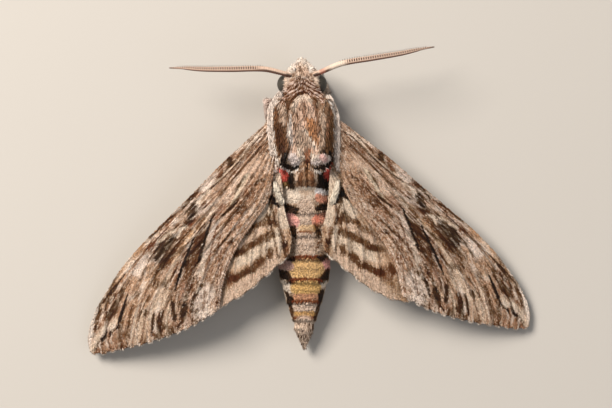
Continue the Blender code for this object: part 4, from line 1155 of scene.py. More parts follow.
# %% The body's marks
ORANGE = "#A97D5A"
EDGE_BROWN = "#6E402A"
LILAC = "#C3A096"
BODY_STROKES = (
    # the head
    (PALE, 0.85, 2.6, 0.6, ((-3.2, 21.4), (-1.5, 23.2), (0.3, 21.4))),
    (WHITE, 0.7, 0.9, 0.4, ((-3.6, 22), (-2.4, 23.6), (-1.4, 24), (-0.6, 23.4), (0.6, 22.2))),
    ("#C9A58E", 0.35, 1.2, 0.5, ((-1.2, 21.6), (-0.4, 20.4))),
    (BROWN, 0.6, 0.4, 0.3, ((-3.2, 21.6), (-3, 20.4))),
    (BROWN, 0.6, 0.5, 0.3, ((0.6, 21.3), (0.6, 20.2))),
    (PALE, 0.6, 0.6, 0.35, ((-4, 21.6), (-4.3, 20.4), (-4.3, 19))),
    (PALE, 0.6, 0.5, 0.35, ((1.1, 21.6), (1.3, 20.4), (1.7, 19.2))),
    (DARK, 0.8, (0.15, 0.3, 0.3), 0.2, ((-1.6, 22.4), (-1.4, 21.2), (-1.3, 19.8))),
    # the front of the thorax
    ("#CDB09B", 0.85, (2.4, 4.6, 4.8), 0.8, ((-1.1, 16.3), (-1.2, 13), (-1, 8.8))),
    ("#6E5546", 0.86, (1.4, 2.2, 2.3, 1.8), 0.5, ((-4.6, 16.9), (-5.1, 13.6), (-5, 10), (-4.7, 7.8))),
    (DARK, 0.65, (0.4, 0.9, 1, 0.9), 0.45, ((-5.6, 15.4), (-5.4, 12.4), (-5, 9.4), (-4.7, 7.9))),
    ("#7E6250", 0.7, 0.5, 0.3, ((-6.1, 15.2), (-5.9, 12.6))),
    (PALE, 0.65, 0.24, 0.25, ((-5.9, 16), (-4.7, 15), (-4.4, 12.6))),
    (PALE, 0.5, 0.2, 0.2, ((-5.4, 16.8), (-5.1, 13))),
    ("#7F6755", 0.82, (1.4, 2, 2.2, 1.8), 0.5, ((2.7, 16.6), (3.2, 13), (3.3, 10), (3.4, 7.9))),
    (DARK, 0.42, (0.3, 0.7, 1.1, 1.4), 0.4, ((3.6, 14.6), (3.5, 12), (3.5, 9.6), (3.3, 7.8))),
    (WARM, 0.35, 0.25, 0.25, ((4.1, 15.2), (3, 13.4), (2.9, 10.6))),
    (PALE, 0.55, 0.22, 0.25, ((1.9, 15.6), (2.3, 12.6), (2.2, 9))),
    (DARK, 0.85, (0.15, 0.4, 0.6, 0.7), 0.25, ((-3.1, 16.3), (-2.6, 17.2), (-1.9, 17.9), (-1.2, 18.1))),
    (DARK, 0.85, (0.7, 0.6, 0.5, 0.2), 0.25, ((-1.3, 18.1), (-0.4, 18), (0.4, 17.3), (1, 16.3))),
    (BROWN, 0.6, 0.3, 0.25, ((-3.7, 15.2), (-3.3, 16.4), (-2.8, 17.2))),
    (CREAM, 0.6, 0.4, 0.3, ((-2.7, 15.2), (-2.2, 16.5), (-1.5, 17.2), (-0.6, 17.2), (0.1, 16.4))),
    (WHITE, 0.95, (1.3, 1.5, 1.1, 0.8, 0.8, 0.8, 0.6), 0.3,
     ((-4.8, 18.4), (-5.7, 17.5), (-6.7, 15.8), (-6.9, 12.5), (-6.5, 10), (-6.4, 7.6), (-5.9, 5.8))),
    (WHITE, 0.95, (0.4, 0.8, 0.9, 0.9, 0.8, 0.7, 0.6), 0.3,
     ((3.2, 17.2), (3.7, 16.4), (4.4, 15), (4.7, 12.5), (4.6, 10), (4.7, 7.6), (4.4, 6))),
    (WHITE, 0.75, 0.4, 0.3, ((-3.5, 13.6), (-3.6, 11.6), (-3.3, 9.4))),
    (BROWN, 0.6, 0.3, 0.3, ((-1.1, 15.9), (-0.8, 13.4))),
    (DARK, 0.6, 0.3, 0.3, ((-2.9, 14.8), (-2.8, 11.8))),
    (BROWN, 0.65, 0.4, 0.3, ((0.6, 16.2), (1.4, 14), (1.7, 11.5))),
    (BROWN, 0.5, 0.3, 0.3, ((-2, 13.8), (-2.2, 12.2))),
    (GREY, 0.55, 2, 0.8, ((-1.1, 10.4), (-1.1, 9))),
    (ORANGE, 0.95, (1.1, 1.6, 1.2, 0.5), 0.35, ((0.1, 12.9), (0.35, 11.6), (0.8, 10.2), (1.2, 9.2))),
    (CREAM, 0.85, 0.35, 0.25, ((-0.9, 11.4), (-0.2, 10.6), (0.5, 9.6), (1, 8.4))),
    # the crescents, tufts and red spots at the rear of the thorax
    ("#E2D2C8", 0.9, (1, 1.4, 1), 0.3, ((-3.1, 7.1), (-2.9, 6.6), (-2.4, 5.9))),
    ("#E2D2C8", 0.85, (1.1, 1.4, 1), 0.3, ((0.7, 6.2), (1.9, 6.5), (3, 6.9))),
    ("#E0A9A0", 0.6, 0.5, 0.3, ((2.1, 6.9), (2.5, 6.6))),
    (GREY, 0.5, 0.35, 0.25, ((0.7, 7), (1.5, 6.9))),
    (CREAM, 0.85, 0.8, 0.3, ((-1.7, 7.8), (-1.5, 6.6))),
    (CREAM, 0.7, 0.6, 0.3, ((0.3, 7.3), (0.5, 6.6))),
    (BLACK, 1, (0.3, 0.9, 1.2, 1, 0.6, 0.25), 0.14,
     ((-3.9, 7.6), (-4.6, 7), (-4.7, 6), (-4.1, 5.3), (-3, 4.95), (-2, 5.15))),
    (BLACK, 1, (0.25, 0.35, 0.7, 0.9, 0.8, 0.6, 0.25), 0.14,
     ((1.8, 7.75), (3.4, 7.65), (4.1, 7), (3.9, 6), (3, 5.35), (1.7, 4.95), (0.5, 5.1))),
    (BLACK, 1, 1.5, 0.15, ((-3.6, 3.6), (-3.4, 2.3))),
    (BLACK, 1, 2.5, 0.15, ((2.7, 3.3), (2.6, 2.4))),
    (OLIVE, 0.85, 0.8, 0.3, ((-4.7, 2.8), (-4.3, 1.5))),
    (PALE, 0.7, 0.18, 0.12, ((-4.9, 7.5), (-5.35, 6.6), (-5.3, 5.9))),
    (WHITE, 0.95, 0.2, 0.12, ((-5.2, 5.4), (-4.9, 5), (-4.1, 4.55), (-3, 4.3), (-2.1, 4.7))),
    (WHITE, 0.95, 0.2, 0.12, ((0.6, 4.6), (1.6, 4.3), (2.5, 4.4), (3, 4.8))),
    ("#CF6156", 1, 1.9, 0.2, ((-5.1, 4), (-4.9, 3.7))),
    ("#C9584E", 1, (0.9, 1.9), 0.2, ((4.1, 5.3), (3.5, 4.1))),
    # a pale pink painted highlight on the upper left of the left red spot
    ("#E58F80", 0.7, 0.4, 0.3, ((-5.3, 4.3), (-5.2, 3.8))),
    ("#B08D70", 0.9, (1.8, 3.2, 3.8), 0.25, ((-0.6, 4.9), (-0.7, 3.6), (-0.7, 2.4))),
    (DARK, 0.85, 0.28, 0.2, ((-0.5, 5.4), (-0.5, 1.7))),
    (PALE, 0.7, 0.25, 0.2, ((-1.3, 4.9), (-2.3, 3.8), (-2.6, 2.6))),
    (PALE, 0.7, 0.25, 0.2, ((0.2, 4.9), (0.9, 3.8), (1.3, 2.6))),
    (BROWN, 0.7, 0.4, 0.3, ((-1.5, 4.2), (-1.8, 2.2))),
    (BROWN, 0.7, 0.4, 0.3, ((0.3, 4.2), (0.6, 2.2))),
    (CREAM, 0.85, 0.35, 0.2, ((-2.5, 1.5), (-0.7, 1.5), (1.3, 1.5))),
    ("#93654B", 0.85, 0.8, 0.3, ((-0.4, 7.9), (-0.4, 6.7))),
    ("#3A1F1C", 0.9, 0.5, 0.25, ((-0.8, 6.2), (-0.4, 6.2))),
    # the abdomen, ring by ring
    (CREAM, 0.85, 2, 0.4, ((-4.6, 0.5), (-2.9, 0.1))),
    (CREAM, 0.5, 1.4, 0.5, ((-1.4, 0.5), (0.2, 0.5))),
    (PALE, 0.55, 2.6, 0.6, ((-0.8, -1.5), (-0.8, -9.6))),
    ("#F4EBE4", 1, 0.8, 0.2, ((1.3, 1), (3.6, 0.95))),
    (SALMON, 0.9, 1.2, 0.3, ((1.6, 0), (3.2, -0.4))),
    (BLACK, 0.97, 1, 0.25, ((-4.6, -1.4), (-3.8, -1.8), (-2.5, -2.1))),
    (BLACK, 0.97, 1, 0.25, ((1.4, -1.9), (2.8, -1.6), (3.6, -1.2))),
    (PINK, 0.95, 1.5, 0.3, ((-3.6, -3.4), (-2.7, -4.2))),
    (SALMON, 0.95, 1.5, 0.3, ((1.2, -3.9), (2.3, -3.4))),
    (RED, 0.35, 0.7, 0.3, ((1.1, -3.3), (1.3, -3.9))),
    (BLACK, 0.9, (0.9, 0.5), 0.25, ((-2.9, -5.3), (-2.6, -6.6))),
    (BLACK, 0.9, (0.9, 0.6), 0.25, ((1, -5.1), (1.6, -6.4))),
    (OCHRE, 0.5, 0.9, 0.4, ((-1.4, -5.3), (0.3, -5.4))),
    (EDGE_BROWN, 0.8, 0.25, 0.2, ((-2.2, -6), (-0.9, -5.85), (0.5, -6))),
    (EDGE_BROWN, 0.95, 0.5, 0.25, ((-3.2, -10.55), (-0.9, -10.25), (1.8, -10.5))),
    (BLACK, 0.9, 0.5, 0.25, ((-3.6, -10.8), (-2.9, -10.7))),
    (BLACK, 0.95, 0.8, 0.25, ((1.4, -10.7), (2.6, -10.4))),
    (OCHRE, 0.9, 2.9, 0.5, ((-2, -12.4), (0.9, -12.4))),
    (LILAC, 0.95, 1.4, 0.3, ((-5.2, -11.5), (-3.6, -11.9))),
    (PINK, 0.9, 1.2, 0.35, ((3, -11.4), (3.3, -12.2))),
    (BLACK, 0.95, (1, 1.5, 0.9), 0.25, ((-5.5, -13), (-4.4, -13.6), (-3.5, -14.5))),
    (BLACK, 0.95, (1.3, 1.6), 0.25, ((3.4, -13), (2.4, -14.2))),
    (EDGE_BROWN, 0.95, 0.45, 0.2, ((-3.2, -14.4), (-0.9, -14.15), (1.8, -14.4))),
    (CREAM, 0.9, 1.3, 0.35, ((-4.9, -15.1), (-3.6, -15.9))),
    (CREAM, 0.8, 0.8, 0.3, ((2.2, -15.3), (2.9, -15.1))),
    ("#CBA86E", 0.95, 2.1, 0.35, ((-2.2, -15.7), (0.9, -15.7))),
    ("#C09274", 0.85, 0.9, 0.35, ((-2.5, -17.35), (1, -17.35))),
    (BLACK, 0.95, 1.2, 0.25, ((-4.5, -16.9), (-3.5, -18.1))),
    (BLACK, 0.95, 1.1, 0.25, ((2.3, -16.6), (2, -18.2))),
    (EDGE_BROWN, 0.9, 0.4, 0.2, ((-3, -18.25), (-0.9, -18.05), (1.3, -18.25))),
    (PALE, 0.8, 1.2, 0.4, ((-2.6, -19.2), (0.9, -19.2))),
    ("#C9A066", 0.9, 0.8, 0.25, ((-2.4, -20.35), (0.7, -20.35))),
    (EDGE_BROWN, 0.85, 0.35, 0.2, ((-2.7, -21.1), (-0.9, -20.95), (0.9, -21.1))),
    (DARK, 0.85, 0.6, 0.25, ((-3.5, -19.2), (-3.3, -21.4))),
    (DARK, 0.85, 0.6, 0.25, ((1.6, -19), (1.1, -21.2))),
    (PALE, 0.7, 3, 0.8, ((-1, -22.5), (-1.1, -25.5))),
    (CREAM, 0.8, 0.6, 0.3, ((-5.4, -14.9), (-4.7, -17.5), (-4, -20.5), (-3.4, -22.4))),
    (CREAM, 0.8, 0.6, 0.3, ((3.4, -14.9), (2.9, -17.5), (2.1, -20.2), (1.4, -22.4))),
)
print(len(BODY_STROKES), "strokes on the body")

# %% [markdown]
# Behind the head, rows of short dark and pale hair form chevrons, like a braid. They are a wave across
# lines that fall away to both sides. The rest of the body is streaked hair by hair on the thorax, and
# speckled on the abdomen. The belly is plain.

# %% The body's colours
HEAD_BACK, THORAX_BACK = 18.4, 1.3
# the braid's middle, how fast its rows fall away from it, and the rows' spacing in millimetres
BRAID_X, BRAID_SLOPE, BRAID_STEP = -1.35, 0.5, 0.72


def paint_nape(colours, x, y):
    row = y + BRAID_SLOPE * np.abs(x - BRAID_X) ** 1.2
    row = row + 0.22 * noise(x * 1.6, y * 1.6, 96) + 0.12 * noise(x * 5, y * 5, 97)
    nape = ramp(row, 17.9, 18.5) * (1 - ramp(row, 20.6, 21.4)) * ramp(-np.abs(x - BRAID_X), -4.2, -3.4)
    braid = np.sin(2 * math.pi * row / BRAID_STEP)
    paint(colours, "#8A6753", 0.6 * nape)
    paint(colours, "#4C3226", 0.8 * nape * ramp(braid, -0.1, 0.7))
    paint(colours, "#DCC5B6", 0.75 * nape * ramp(-braid, 0.2, 0.9))


def body_colours(x, y, up):
    """The colour of each point of the body; up is the height of its normal."""
    colours = one_colour("#9F8C7B", len(x))
    streak = noise(x * 3.4, y / 1.4, 90) + 0.6 * noise(x * 7, y / 0.8, 91)
    speckle = noise(x * 3.6, y * 3.6, 92) + 0.6 * noise(x * 6, y * 6, 93)
    on_thorax = ramp(y, THORAX_BACK - 0.3, THORAX_BACK + 0.3)
    grain = streak * on_thorax + speckle * (1 - on_thorax)
    paint(colours, PALE, 0.7 * ramp(grain, 0.1, 1.1))
    paint(colours, BROWN, 0.7 * ramp(-grain, 0.2, 1.1))
    for k, (code, strength, wide, soft, line) in enumerate(BODY_STROKES):
        cover = stroke(x, y, line, wide, soft, ragged=0.14, seed=200 + k)
        uneven = 0.1 if strength > 0.94 else 0.3
        paint(colours, code, strength * cover * (0.96 + uneven * grain))
    paint(colours, DARK, (0.25 + 0.35 * on_thorax) * ramp(-grain, 0.7, 1.3))
    paint_nape(colours, x, y)
    head = ramp(y, 19.6, 20.8)
    dots = noise(x * 5.5, y * 4.2, 94) + 0.5 * noise(x * 10, y * 8, 95)
    paint(colours, "#5E4132", 0.65 * head * ramp(-dots, 0.1, 0.8))
    paint(colours, CREAM, 0.55 * head * ramp(dots, 0.1, 0.8))
    tail = ramp(-y, 21.0, 22.5)
    paint(colours, "#E6CDB2", 0.7 * tail * ramp(speckle, 0.0, 0.8))
    paint(colours, DARK, 0.85 * tail * ramp(-speckle, 0.15, 0.7))
    flank = ramp(-up, -0.25, 0.25)
    paint(colours, "#B7A391", flank)
    paint(colours, BROWN, flank * 0.5 * ramp(-grain, 0.0, 1.0))
    return deepen(colours, power=1.12)


def body_unwrap(points):
    """A bake map of the body: round it across the map, and along it up the map."""
    turn = np.arctan2(points[:, 0] - BODY_X, points[:, 2] - 6.0)
    return np.column_stack([turn / (2 * math.pi) + 0.5, (points[:, 1] + 27) / 53])


colours = body_colours(skin_points[:, 0], skin_points[:, 1], skin_normals[:, 2])
print("the body's palest and darkest points", np.round([colours.max(), colours.min()], 3))

# %% [markdown]
# The skin gets the same colours as the coat over it, so that no bare patch shows between the tufts.

# %% Build the body's skin
make_piece(
    "body_skin", skin_points, skin_faces, SKIN_FINISH, SKIN_NODES, colours, 0.85,
    body_unwrap(skin_points),
)

# %% [markdown]
# ## The body's coat
# Hair-scales are longest on the thorax, where they lie back like thatch, and short and flat on the
# abdomen. Combing particle hair by hand could give this, but here a few rules say how the tufts lie. Their
# roots are spread evenly over the skin.


# %% Where the tufts grow
def spots_on_skin(wanted, count):
    """Roots and normals spread evenly over the part of the skin whose faces are wanted."""
    chance = np.where(wanted, face_areas, 0)
    chosen = random.choice(len(chance), count, p=chance / chance.sum())
    a, b = np.sqrt(random.random(count)), random.random(count)
    weights = np.column_stack([1 - a, a * (1 - b), a * b])
    places = skin_faces[chosen]
    roots = (skin_points[places] * weights[..., None]).sum(1)
    return roots, unit((skin_normals[places] * weights[..., None]).sum(1))


def dress_body(name, roots, normals, lies, length, width, slot, hairs=True, **settings):
    """A coat on the body. Each tuft takes the colour painted where its middle shows."""
    shown = roots + unit(lies) * np.reshape(length, (-1, 1)) * SHOWN
    colours = body_colours(shown[:, 0], shown[:, 1], normals[:, 2])
    coat(
        name, slot, roots, lies, normals, body_unwrap(roots), colours, length, width, hairs=hairs,
        finish=HAIR_FINISH, **settings,
    )


face_y = skin_points[skin_faces].mean(1)[:, 1]
print("the skin runs from y", face_y.min().round(1), "to", face_y.max().round(1))

# %% [markdown]
# On the head the coat parts: the hairs in front point forwards, and the rest lie back. None may grow in an
# eye or stick out of the head's rounded outline, so both are tested for each tuft.

# %% The head's coat
EYES = {"left": (HEAD_X - 2.7, 19.75, 7.3), "right": (HEAD_X + 2.62, 19.8, 7.3)}
EYE_RADII, SOCKET = np.array([1.66, 1.75, 2.0]), 1.12
# half the head's width at places along it
ARCH_Y, ARCH_WIDE = (18.0, 18.8, 21.0, 22.0, 22.8, 23.5, 24.3), (3.6, 3.2, 3.05, 2.45, 1.85, 1.1, 0.1)


def clear_of_eyes(roots, normals):
    """Drops the roots that lie in the eyes or their sockets."""
    keep = np.ones(len(roots), bool)
    for centre in EYES.values():
        keep &= np.linalg.norm((roots - np.array(centre)) / EYE_RADII, axis=1) > SOCKET
    return roots[keep], normals[keep]


def in_arch(roots, lies, length):
    """True for each tuft of the head whose tip stays inside the head's outline, seen from above."""
    tips = roots + unit(lies) * length
    return np.abs(tips[:, 0] - ARCH_X) < np.interp(tips[:, 1], ARCH_Y, ARCH_WIDE)


def skin_top(x, y):
    """The skin's height and normal straight above or below a place, from its nearest upward point."""
    upward = np.flatnonzero(skin_normals[:, 2] > 0.2)
    away = (skin_points[upward, :1] - x) ** 2 + (skin_points[upward, 1:2] - y) ** 2
    near = upward[np.argmin(away, axis=0)]
    return columns(x, y, skin_points[near, 2]), skin_normals[near]


roots, normals = clear_of_eyes(*spots_on_skin(face_y > HEAD_BACK - 0.4, 5600))
off = roots[:, 0] - HEAD_X
ahead = ramp(roots[:, 1] + random.normal(0, 0.5, len(roots)), 21.0, 21.8)
nape = 1 - ramp(roots[:, 1], 19.2, 20.6)
lies = columns(off * (0.22 + 0.3 * nape - 0.5 * ahead), -1 + 2.0 * ahead, -0.1 + 0.3 * ahead)
low = ramp(-roots[:, 2], -7.2, -6.0)
keep = in_arch(roots, lies, 0.5) | (roots[:, 2] < 7.0)
length = (0.85 - 0.3 * low * ahead - 0.25 * nape)[keep]
dress_body(
    "coat_head", roots[keep], normals[keep], lies[keep], length, 0.17, "head_fur",
    lift=(0.36 - 0.2 * low)[keep], bend=0.2, spread=0.25,
)

# %% [markdown]
# In front, the crown's scales run forwards and together into one pointed tuft that roofs the two palps.

# %% The tuft in front
FRONT_TUFTS, TUFT_TIP = 3600, (-1.48, 25.4)
x, y = random.uniform(-4.3, 1.4, FRONT_TUFTS), random.uniform(20.8, 23.7, FRONT_TUFTS)
roots, _ = skin_top(x, y)
roots[:, 2] = np.maximum(roots[:, 2], 7.6)
lies = columns((TUFT_TIP[0] - roots[:, 0]) * 0.7, TUFT_TIP[1] - roots[:, 1], -0.2)
normals = columns((roots[:, 0] - HEAD_X) * 0.12, 0.2, 1.0)
keep = in_arch(roots, lies, 0.8)
dress_body(
    "tuft_front", roots[keep], normals[keep], lies[keep], 0.85, 0.2, "head_fur",
    lift=0.28, bend=0.15, spread=0.28,
)

# %% [markdown]
# The scales beside the crown reach out over the inner part of each eye, and from above they leave only its
# outer rim bare. They grow from the crown's side, and their tips hang over the eye.

# %% Scales over the eyes
BROW_TUFTS = 2000
for side, way in (("left", -1), ("right", 1)):
    out, y = random.uniform(1.0, 2.5, BROW_TUFTS), random.uniform(18.2, 22.4, BROW_TUFTS)
    roots, _ = skin_top(HEAD_X + way * out, y)
    roots[:, 2] = np.clip(roots[:, 2], 9.45, 10.3)
    normals = np.tile([way * 0.25, 0.0, 1.0], (BROW_TUFTS, 1))
    lies = columns(way * 0.9, (y - 20.6) * 0.2 - 0.2, -0.05)
    keep = in_arch(roots, lies, 0.95)
    dress_body(
        f"coat_brow_{side}", roots[keep], normals[keep], lies[keep], 1.0, 0.19, "head_fur",
        lift=0.22, bend=0.2, spread=0.22,
    )

# %% [markdown]
# The thorax has the longest hair. It lies straight back, spreads a little at the neck, and is shorter
# there and at the rear, where the crescents are.

# %% The thorax's coat
on_thorax = (face_y > THORAX_BACK - 0.3) & (face_y < HEAD_BACK + 0.5)
roots, normals = spots_on_skin(on_thorax, 13500)
off = roots[:, 0] - BODY_X
back = ramp(-roots[:, 1], -9.0, -7.2)
neck = ramp(roots[:, 1], 16.2, 17.6)
lies = columns(off * (0.05 + 0.05 * back + 0.28 * neck), -1.0, -0.05)
top = ramp(normals[:, 2], 0.0, 0.6)
dress_body(
    "coat_thorax", roots, normals, lies, 1.1 + 0.35 * top - 0.55 * back - 0.6 * neck, 0.23 - 0.04 * neck,
    "thorax_fur", lift=0.2, bend=0.14, spread=0.14, grain=0.22,
)

# %% [markdown]
# Two tufts stand up at the rear of the thorax, grey with black behind them, and their hairs fan out.

# %% The standing tufts of the thorax
TUFT_CENTRES = {"left": (-3.2, 7.0), "right": (2.0, 7.0)}
STANDING = 420
for side, (tuft_x, tuft_y) in TUFT_CENTRES.items():
    turn, far = random.uniform(0, 2 * math.pi, STANDING), np.sqrt(random.random(STANDING))
    roots, normals = skin_top(tuft_x + 1.1 * far * np.cos(turn), tuft_y + 0.1 + 0.7 * far * np.sin(turn))
    lies = columns(0.3 * far * np.cos(turn), -0.9 + 0.25 * far * np.sin(turn), 0.1)
    dress_body(
        f"tuft_thorax_{side}", roots, normals, lies, 0.95, 0.2, "thorax_fur", lift=0.5, bend=0.3, spread=0.2
    )

# %% [markdown]
# The abdomen is covered with short flat scales. At each ring's rear edge they are longer and stand up a
# little, over the start of the next ring.

# %% The abdomen's coat
RING_ENDS = (-2.6, -6.6, -10.7, -14.7, -18.5, -21.5)
roots, normals = spots_on_skin((face_y < THORAX_BACK + 0.2) & (face_y > -22.4), 17000)
off = roots[:, 0] - BODY_X
to_edge = np.min([np.abs(roots[:, 1] - 0.35 - end) for end in RING_ENDS], axis=0)
on_edge = 1 - ramp(to_edge, 0.2, 0.8)
lies = columns(off * 0.03, -1.0, -0.02)
dress_body(
    "coat_abdomen", roots, normals, lies, 0.62 + 0.2 * on_edge, 0.26, "abdomen_scales", hairs=False,
    lift=0.1 + 0.14 * on_edge, bend=0.06, spread=0.12, depth=0.22, grain=0.13,
)

# %% [markdown]
# The last rings end in a brush of longer scales, speckled grey and brown.

# %% The tail brush
roots, normals = spots_on_skin(face_y < -20.6, 3600)
back = ramp(-roots[:, 1], 20.6, 22.5)
off = roots[:, 0] - BODY_X
lies = columns(off * 0.12, -1.0, -0.02)
dress_body(
    "tuft_tail", roots, normals, lies, 0.8 + 0.5 * back, 0.2, "abdomen_scales",
    lift=0.12 + 0.2 * back, bend=0.1, spread=0.2, grain=0.2,
)

# %% [markdown]
# ## Edges of long hair
# The shoulder plates end in long white hair beside the wings' roots, and cream hair runs from the
# hindwing's base along the sides of the abdomen. Both are rows of long soft hairs that overlap.


# %% Rows of long hair
LONG_HAIR, HAIR_WAY = 1.2, np.array([0.0, -1.0, -0.05])


def hair_row(name, slot, code, count, wide, heights, line):
    """Long hairs beside a line drawn from above, at the heights given along it."""
    path = smooth_line(np.column_stack([line, heights]), 200)
    at = random.integers(0, 199, count)
    roots = path[at] + columns(*(random.uniform(-far, far, count) for far in (wide / 2, 0.3, 0.15)))
    lies = unit(path[at + 1] - path[at]) * 0.8 + HAIR_WAY * 0.6
    normals = columns((roots[:, 0] - BODY_X) * 0.08, 0.0, 1.0)
    colours = one_colour(code, count)
    paint(colours, TAN, 0.4 * ramp(noise(roots[:, 0] * 5, roots[:, 1], 300), 0.1, 0.9))
    coat(
        name, slot, roots, lies, normals, body_unwrap(roots), colours, LONG_HAIR, 0.16,
        lift=0.12, bend=0.1, hairs=True, spread=0.14, finish=HAIR_FINISH,
    )


SHOULDER_HAIR, SHOULDER_HEIGHTS = "#F3E4D9", (9.3, 9.6, 9.9, 9.9, 9.8, 9.4, 9.2)
INNER_HAIR, INNER_HEIGHTS = "#E6DBCA", (8.9, 8.9, 8.8, 8.7)
hair_row(
    "hair_shoulder_left", "thorax_fur", SHOULDER_HAIR, 1700, 0.85, SHOULDER_HEIGHTS,
    ((-4.8, 18.4), (-5.9, 17.2), (-6.7, 15.4), (-6.8, 12), (-6.5, 9), (-6.2, 6.8), (-6.1, 5.6)),
)
hair_row(
    "hair_shoulder_right", "thorax_fur", SHOULDER_HAIR, 1600, 0.75, SHOULDER_HEIGHTS,
    ((3.1, 17.7), (3.8, 16.5), (4.4, 15.0), (4.65, 12), (4.6, 9), (4.65, 6.8), (4.8, 5.8)),
)
hair_row(
    "hair_inner_left", "hindwing_scales", INNER_HAIR, 900, 0.55, INNER_HEIGHTS,
    ((-6.15, 2.9), (-5.85, 2.0), (-5.4, 0.8), (-5.0, 0.0)),
)
hair_row(
    "hair_inner_right", "hindwing_scales", INNER_HAIR, 900, 0.55, INNER_HEIGHTS,
    ((4.95, 3.1), (4.65, 2.2), (4.2, 0.9), (3.95, 0.1)),
)

# %% [markdown]
# ## The eyes
# A hawk moth's eye is a tall dome of thousands of facets of clear chitin over dark pigment. It is nearly
# black, with a soft grey-olive sheen. Each facet is glossy, but together they spread the light like a satin
# surface, so the roughness is a middling 0.5. The facets are about 0.03 mm across, too fine to show, so the
# relief is drawn at 0.16 mm.


# %% The finish of the eyes
FACET_MM, CLOUD_MM = 0.16, 1.2


def faceted_cornea():
    made, tree, shader = new_material("faceted_cornea")
    place = add_node(tree, "ShaderNodeTexCoord")
    facets = add_node(
        tree, "ShaderNodeTexVoronoi", {"feature": "DISTANCE_TO_EDGE"},
        Vector=place.outputs["Object"], Scale=1 / (FACET_MM * MM), Randomness=0.25,
    )
    relief = add_node(
        tree, "ShaderNodeBump", Strength=0.5, Distance=0.02 * MM, Height=facets.outputs["Distance"]
    )
    cloud = add_node(
        tree, "ShaderNodeTexNoise", Vector=place.outputs["Object"], Scale=1 / (CLOUD_MM * MM), Detail=2.0
    )
    # a Mix node's two colours are its inputs 6 and 7, and its colour is output 2
    shade = add_node(
        tree, "ShaderNodeMix", {"data_type": "RGBA"},
        Factor=cloud.outputs["Fac"], _6=rgba("#2E2B27"), _7=rgba("#46423B"),
    )
    set_inputs(
        tree, shader, Base_Color=shade.outputs[2], Normal=relief.outputs["Normal"],
        Roughness=0.5, IOR=1.5, Specular_IOR_Level=0.3,
    )
    return made


EYE_FINISH = faceted_cornea()
print(EYE_FINISH.name, "has", len(EYE_FINISH.node_tree.nodes), "nodes")

# %% [markdown]
# A stretched sphere gives the dome. Only a part of it stands out of the head, and the rest stays inside.


# %% Build the eyes
def dome(centre, radii, around=64, up=40):
    """A closed ellipsoid as points and triangles."""
    theta = np.linspace(0, math.pi, up + 1)[1:-1, None]
    phi = np.linspace(0, 2 * math.pi, around, endpoint=False)[None]
    shell = np.broadcast_arrays(np.sin(theta) * np.cos(phi), np.sin(theta) * np.sin(phi), np.cos(theta))
    shell = np.stack(shell, -1).reshape(-1, 3)
    points = np.concatenate([[[0, 0, 1.0]], shell, [[0, 0, -1.0]]]) * radii + centre
    index = 1 + np.arange((up - 1) * around).reshape(up - 1, around)
    after = np.roll(index, -1, axis=1)
    faces = [np.stack([np.zeros(around, int), index[0], after[0]], -1)]
    faces += [np.stack([index[:-1], index[1:], after[1:]], -1).reshape(-1, 3)]
    faces += [np.stack([index[:-1], after[1:], after[:-1]], -1).reshape(-1, 3)]
    faces += [np.stack([np.full(around, len(points) - 1), after[-1], index[-1]], -1)]
    return points, np.concatenate(faces)


for side, centre in EYES.items():
    points, faces = dome(np.array(centre), EYE_RADII)
    make_piece(f"eye_dome_{side}", points, faces, EYE_FINISH, (f"eye_{side}",))

# %% [markdown]
# ## Tubes
# Feelers, legs and the tongue are tubes whose width changes along them. One function sweeps a ring of
# points along a line and closes both ends.


# %% A tube from a line
def tube(line, radii, sides, flat=1.0):
    """Points, triangles, and each point's share along the tube and turn round it. flat is its height as a
    share of its width."""
    line = np.asarray(line, float)
    ahead = unit(np.gradient(line, axis=0))
    side = np.cross(ahead, [0, 0, 1.0])
    side = unit(np.where(np.linalg.norm(side, axis=1, keepdims=True) < 0.05, [1.0, 0, 0], side))
    up = np.cross(side, ahead)
    turn = np.linspace(0, 2 * math.pi, sides, endpoint=False)
    radii = np.broadcast_to(radii, len(line))[:, None, None]
    ring = side[:, None] * np.cos(turn)[None, :, None] + up[:, None] * np.sin(turn)[None, :, None] * flat
    points = (line[:, None] + ring * radii).reshape(-1, 3)
    index = np.arange(len(points)).reshape(len(line), sides)
    after = np.roll(index, -1, axis=1)
    faces = [np.stack([index[:-1], after[:-1], after[1:]], -1).reshape(-1, 3)]
    faces += [np.stack([index[:-1], after[1:], index[1:]], -1).reshape(-1, 3)]
    points = np.concatenate([points, line[:1], line[-1:]])
    faces += [np.stack([np.full(sides, len(points) - 2), after[0], index[0]], -1)]
    faces += [np.stack([np.full(sides, len(points) - 1), index[-1], after[-1]], -1)]
    share = np.concatenate([np.repeat(np.linspace(0, 1, len(line)), sides), [0, 1]])
    turned = np.concatenate([np.tile(turn, len(line)), [0, 0]])
    return points, np.concatenate(faces)[:, ::-1], share, turned


def tube_unwrap(share, turned):
    """A bake map of a tube: along it across the map, and round it up the map."""
    return np.column_stack([share, turned / (2 * math.pi)])


trial = tube(columns(np.arange(5.0), 0.0, 0.0), 1.0, 8)
print("a tube of 5 rings of 8 points has", len(trial[1]), "triangles")

# %% [markdown]
# ## The feelers
# A real feeler is a shaft of some eighty short segments, thickest past the middle, with a thin bent tip.
# So many are too fine to show, and 54 are drawn. The shaft is a tube that is a little narrower at each
# joint between two segments.

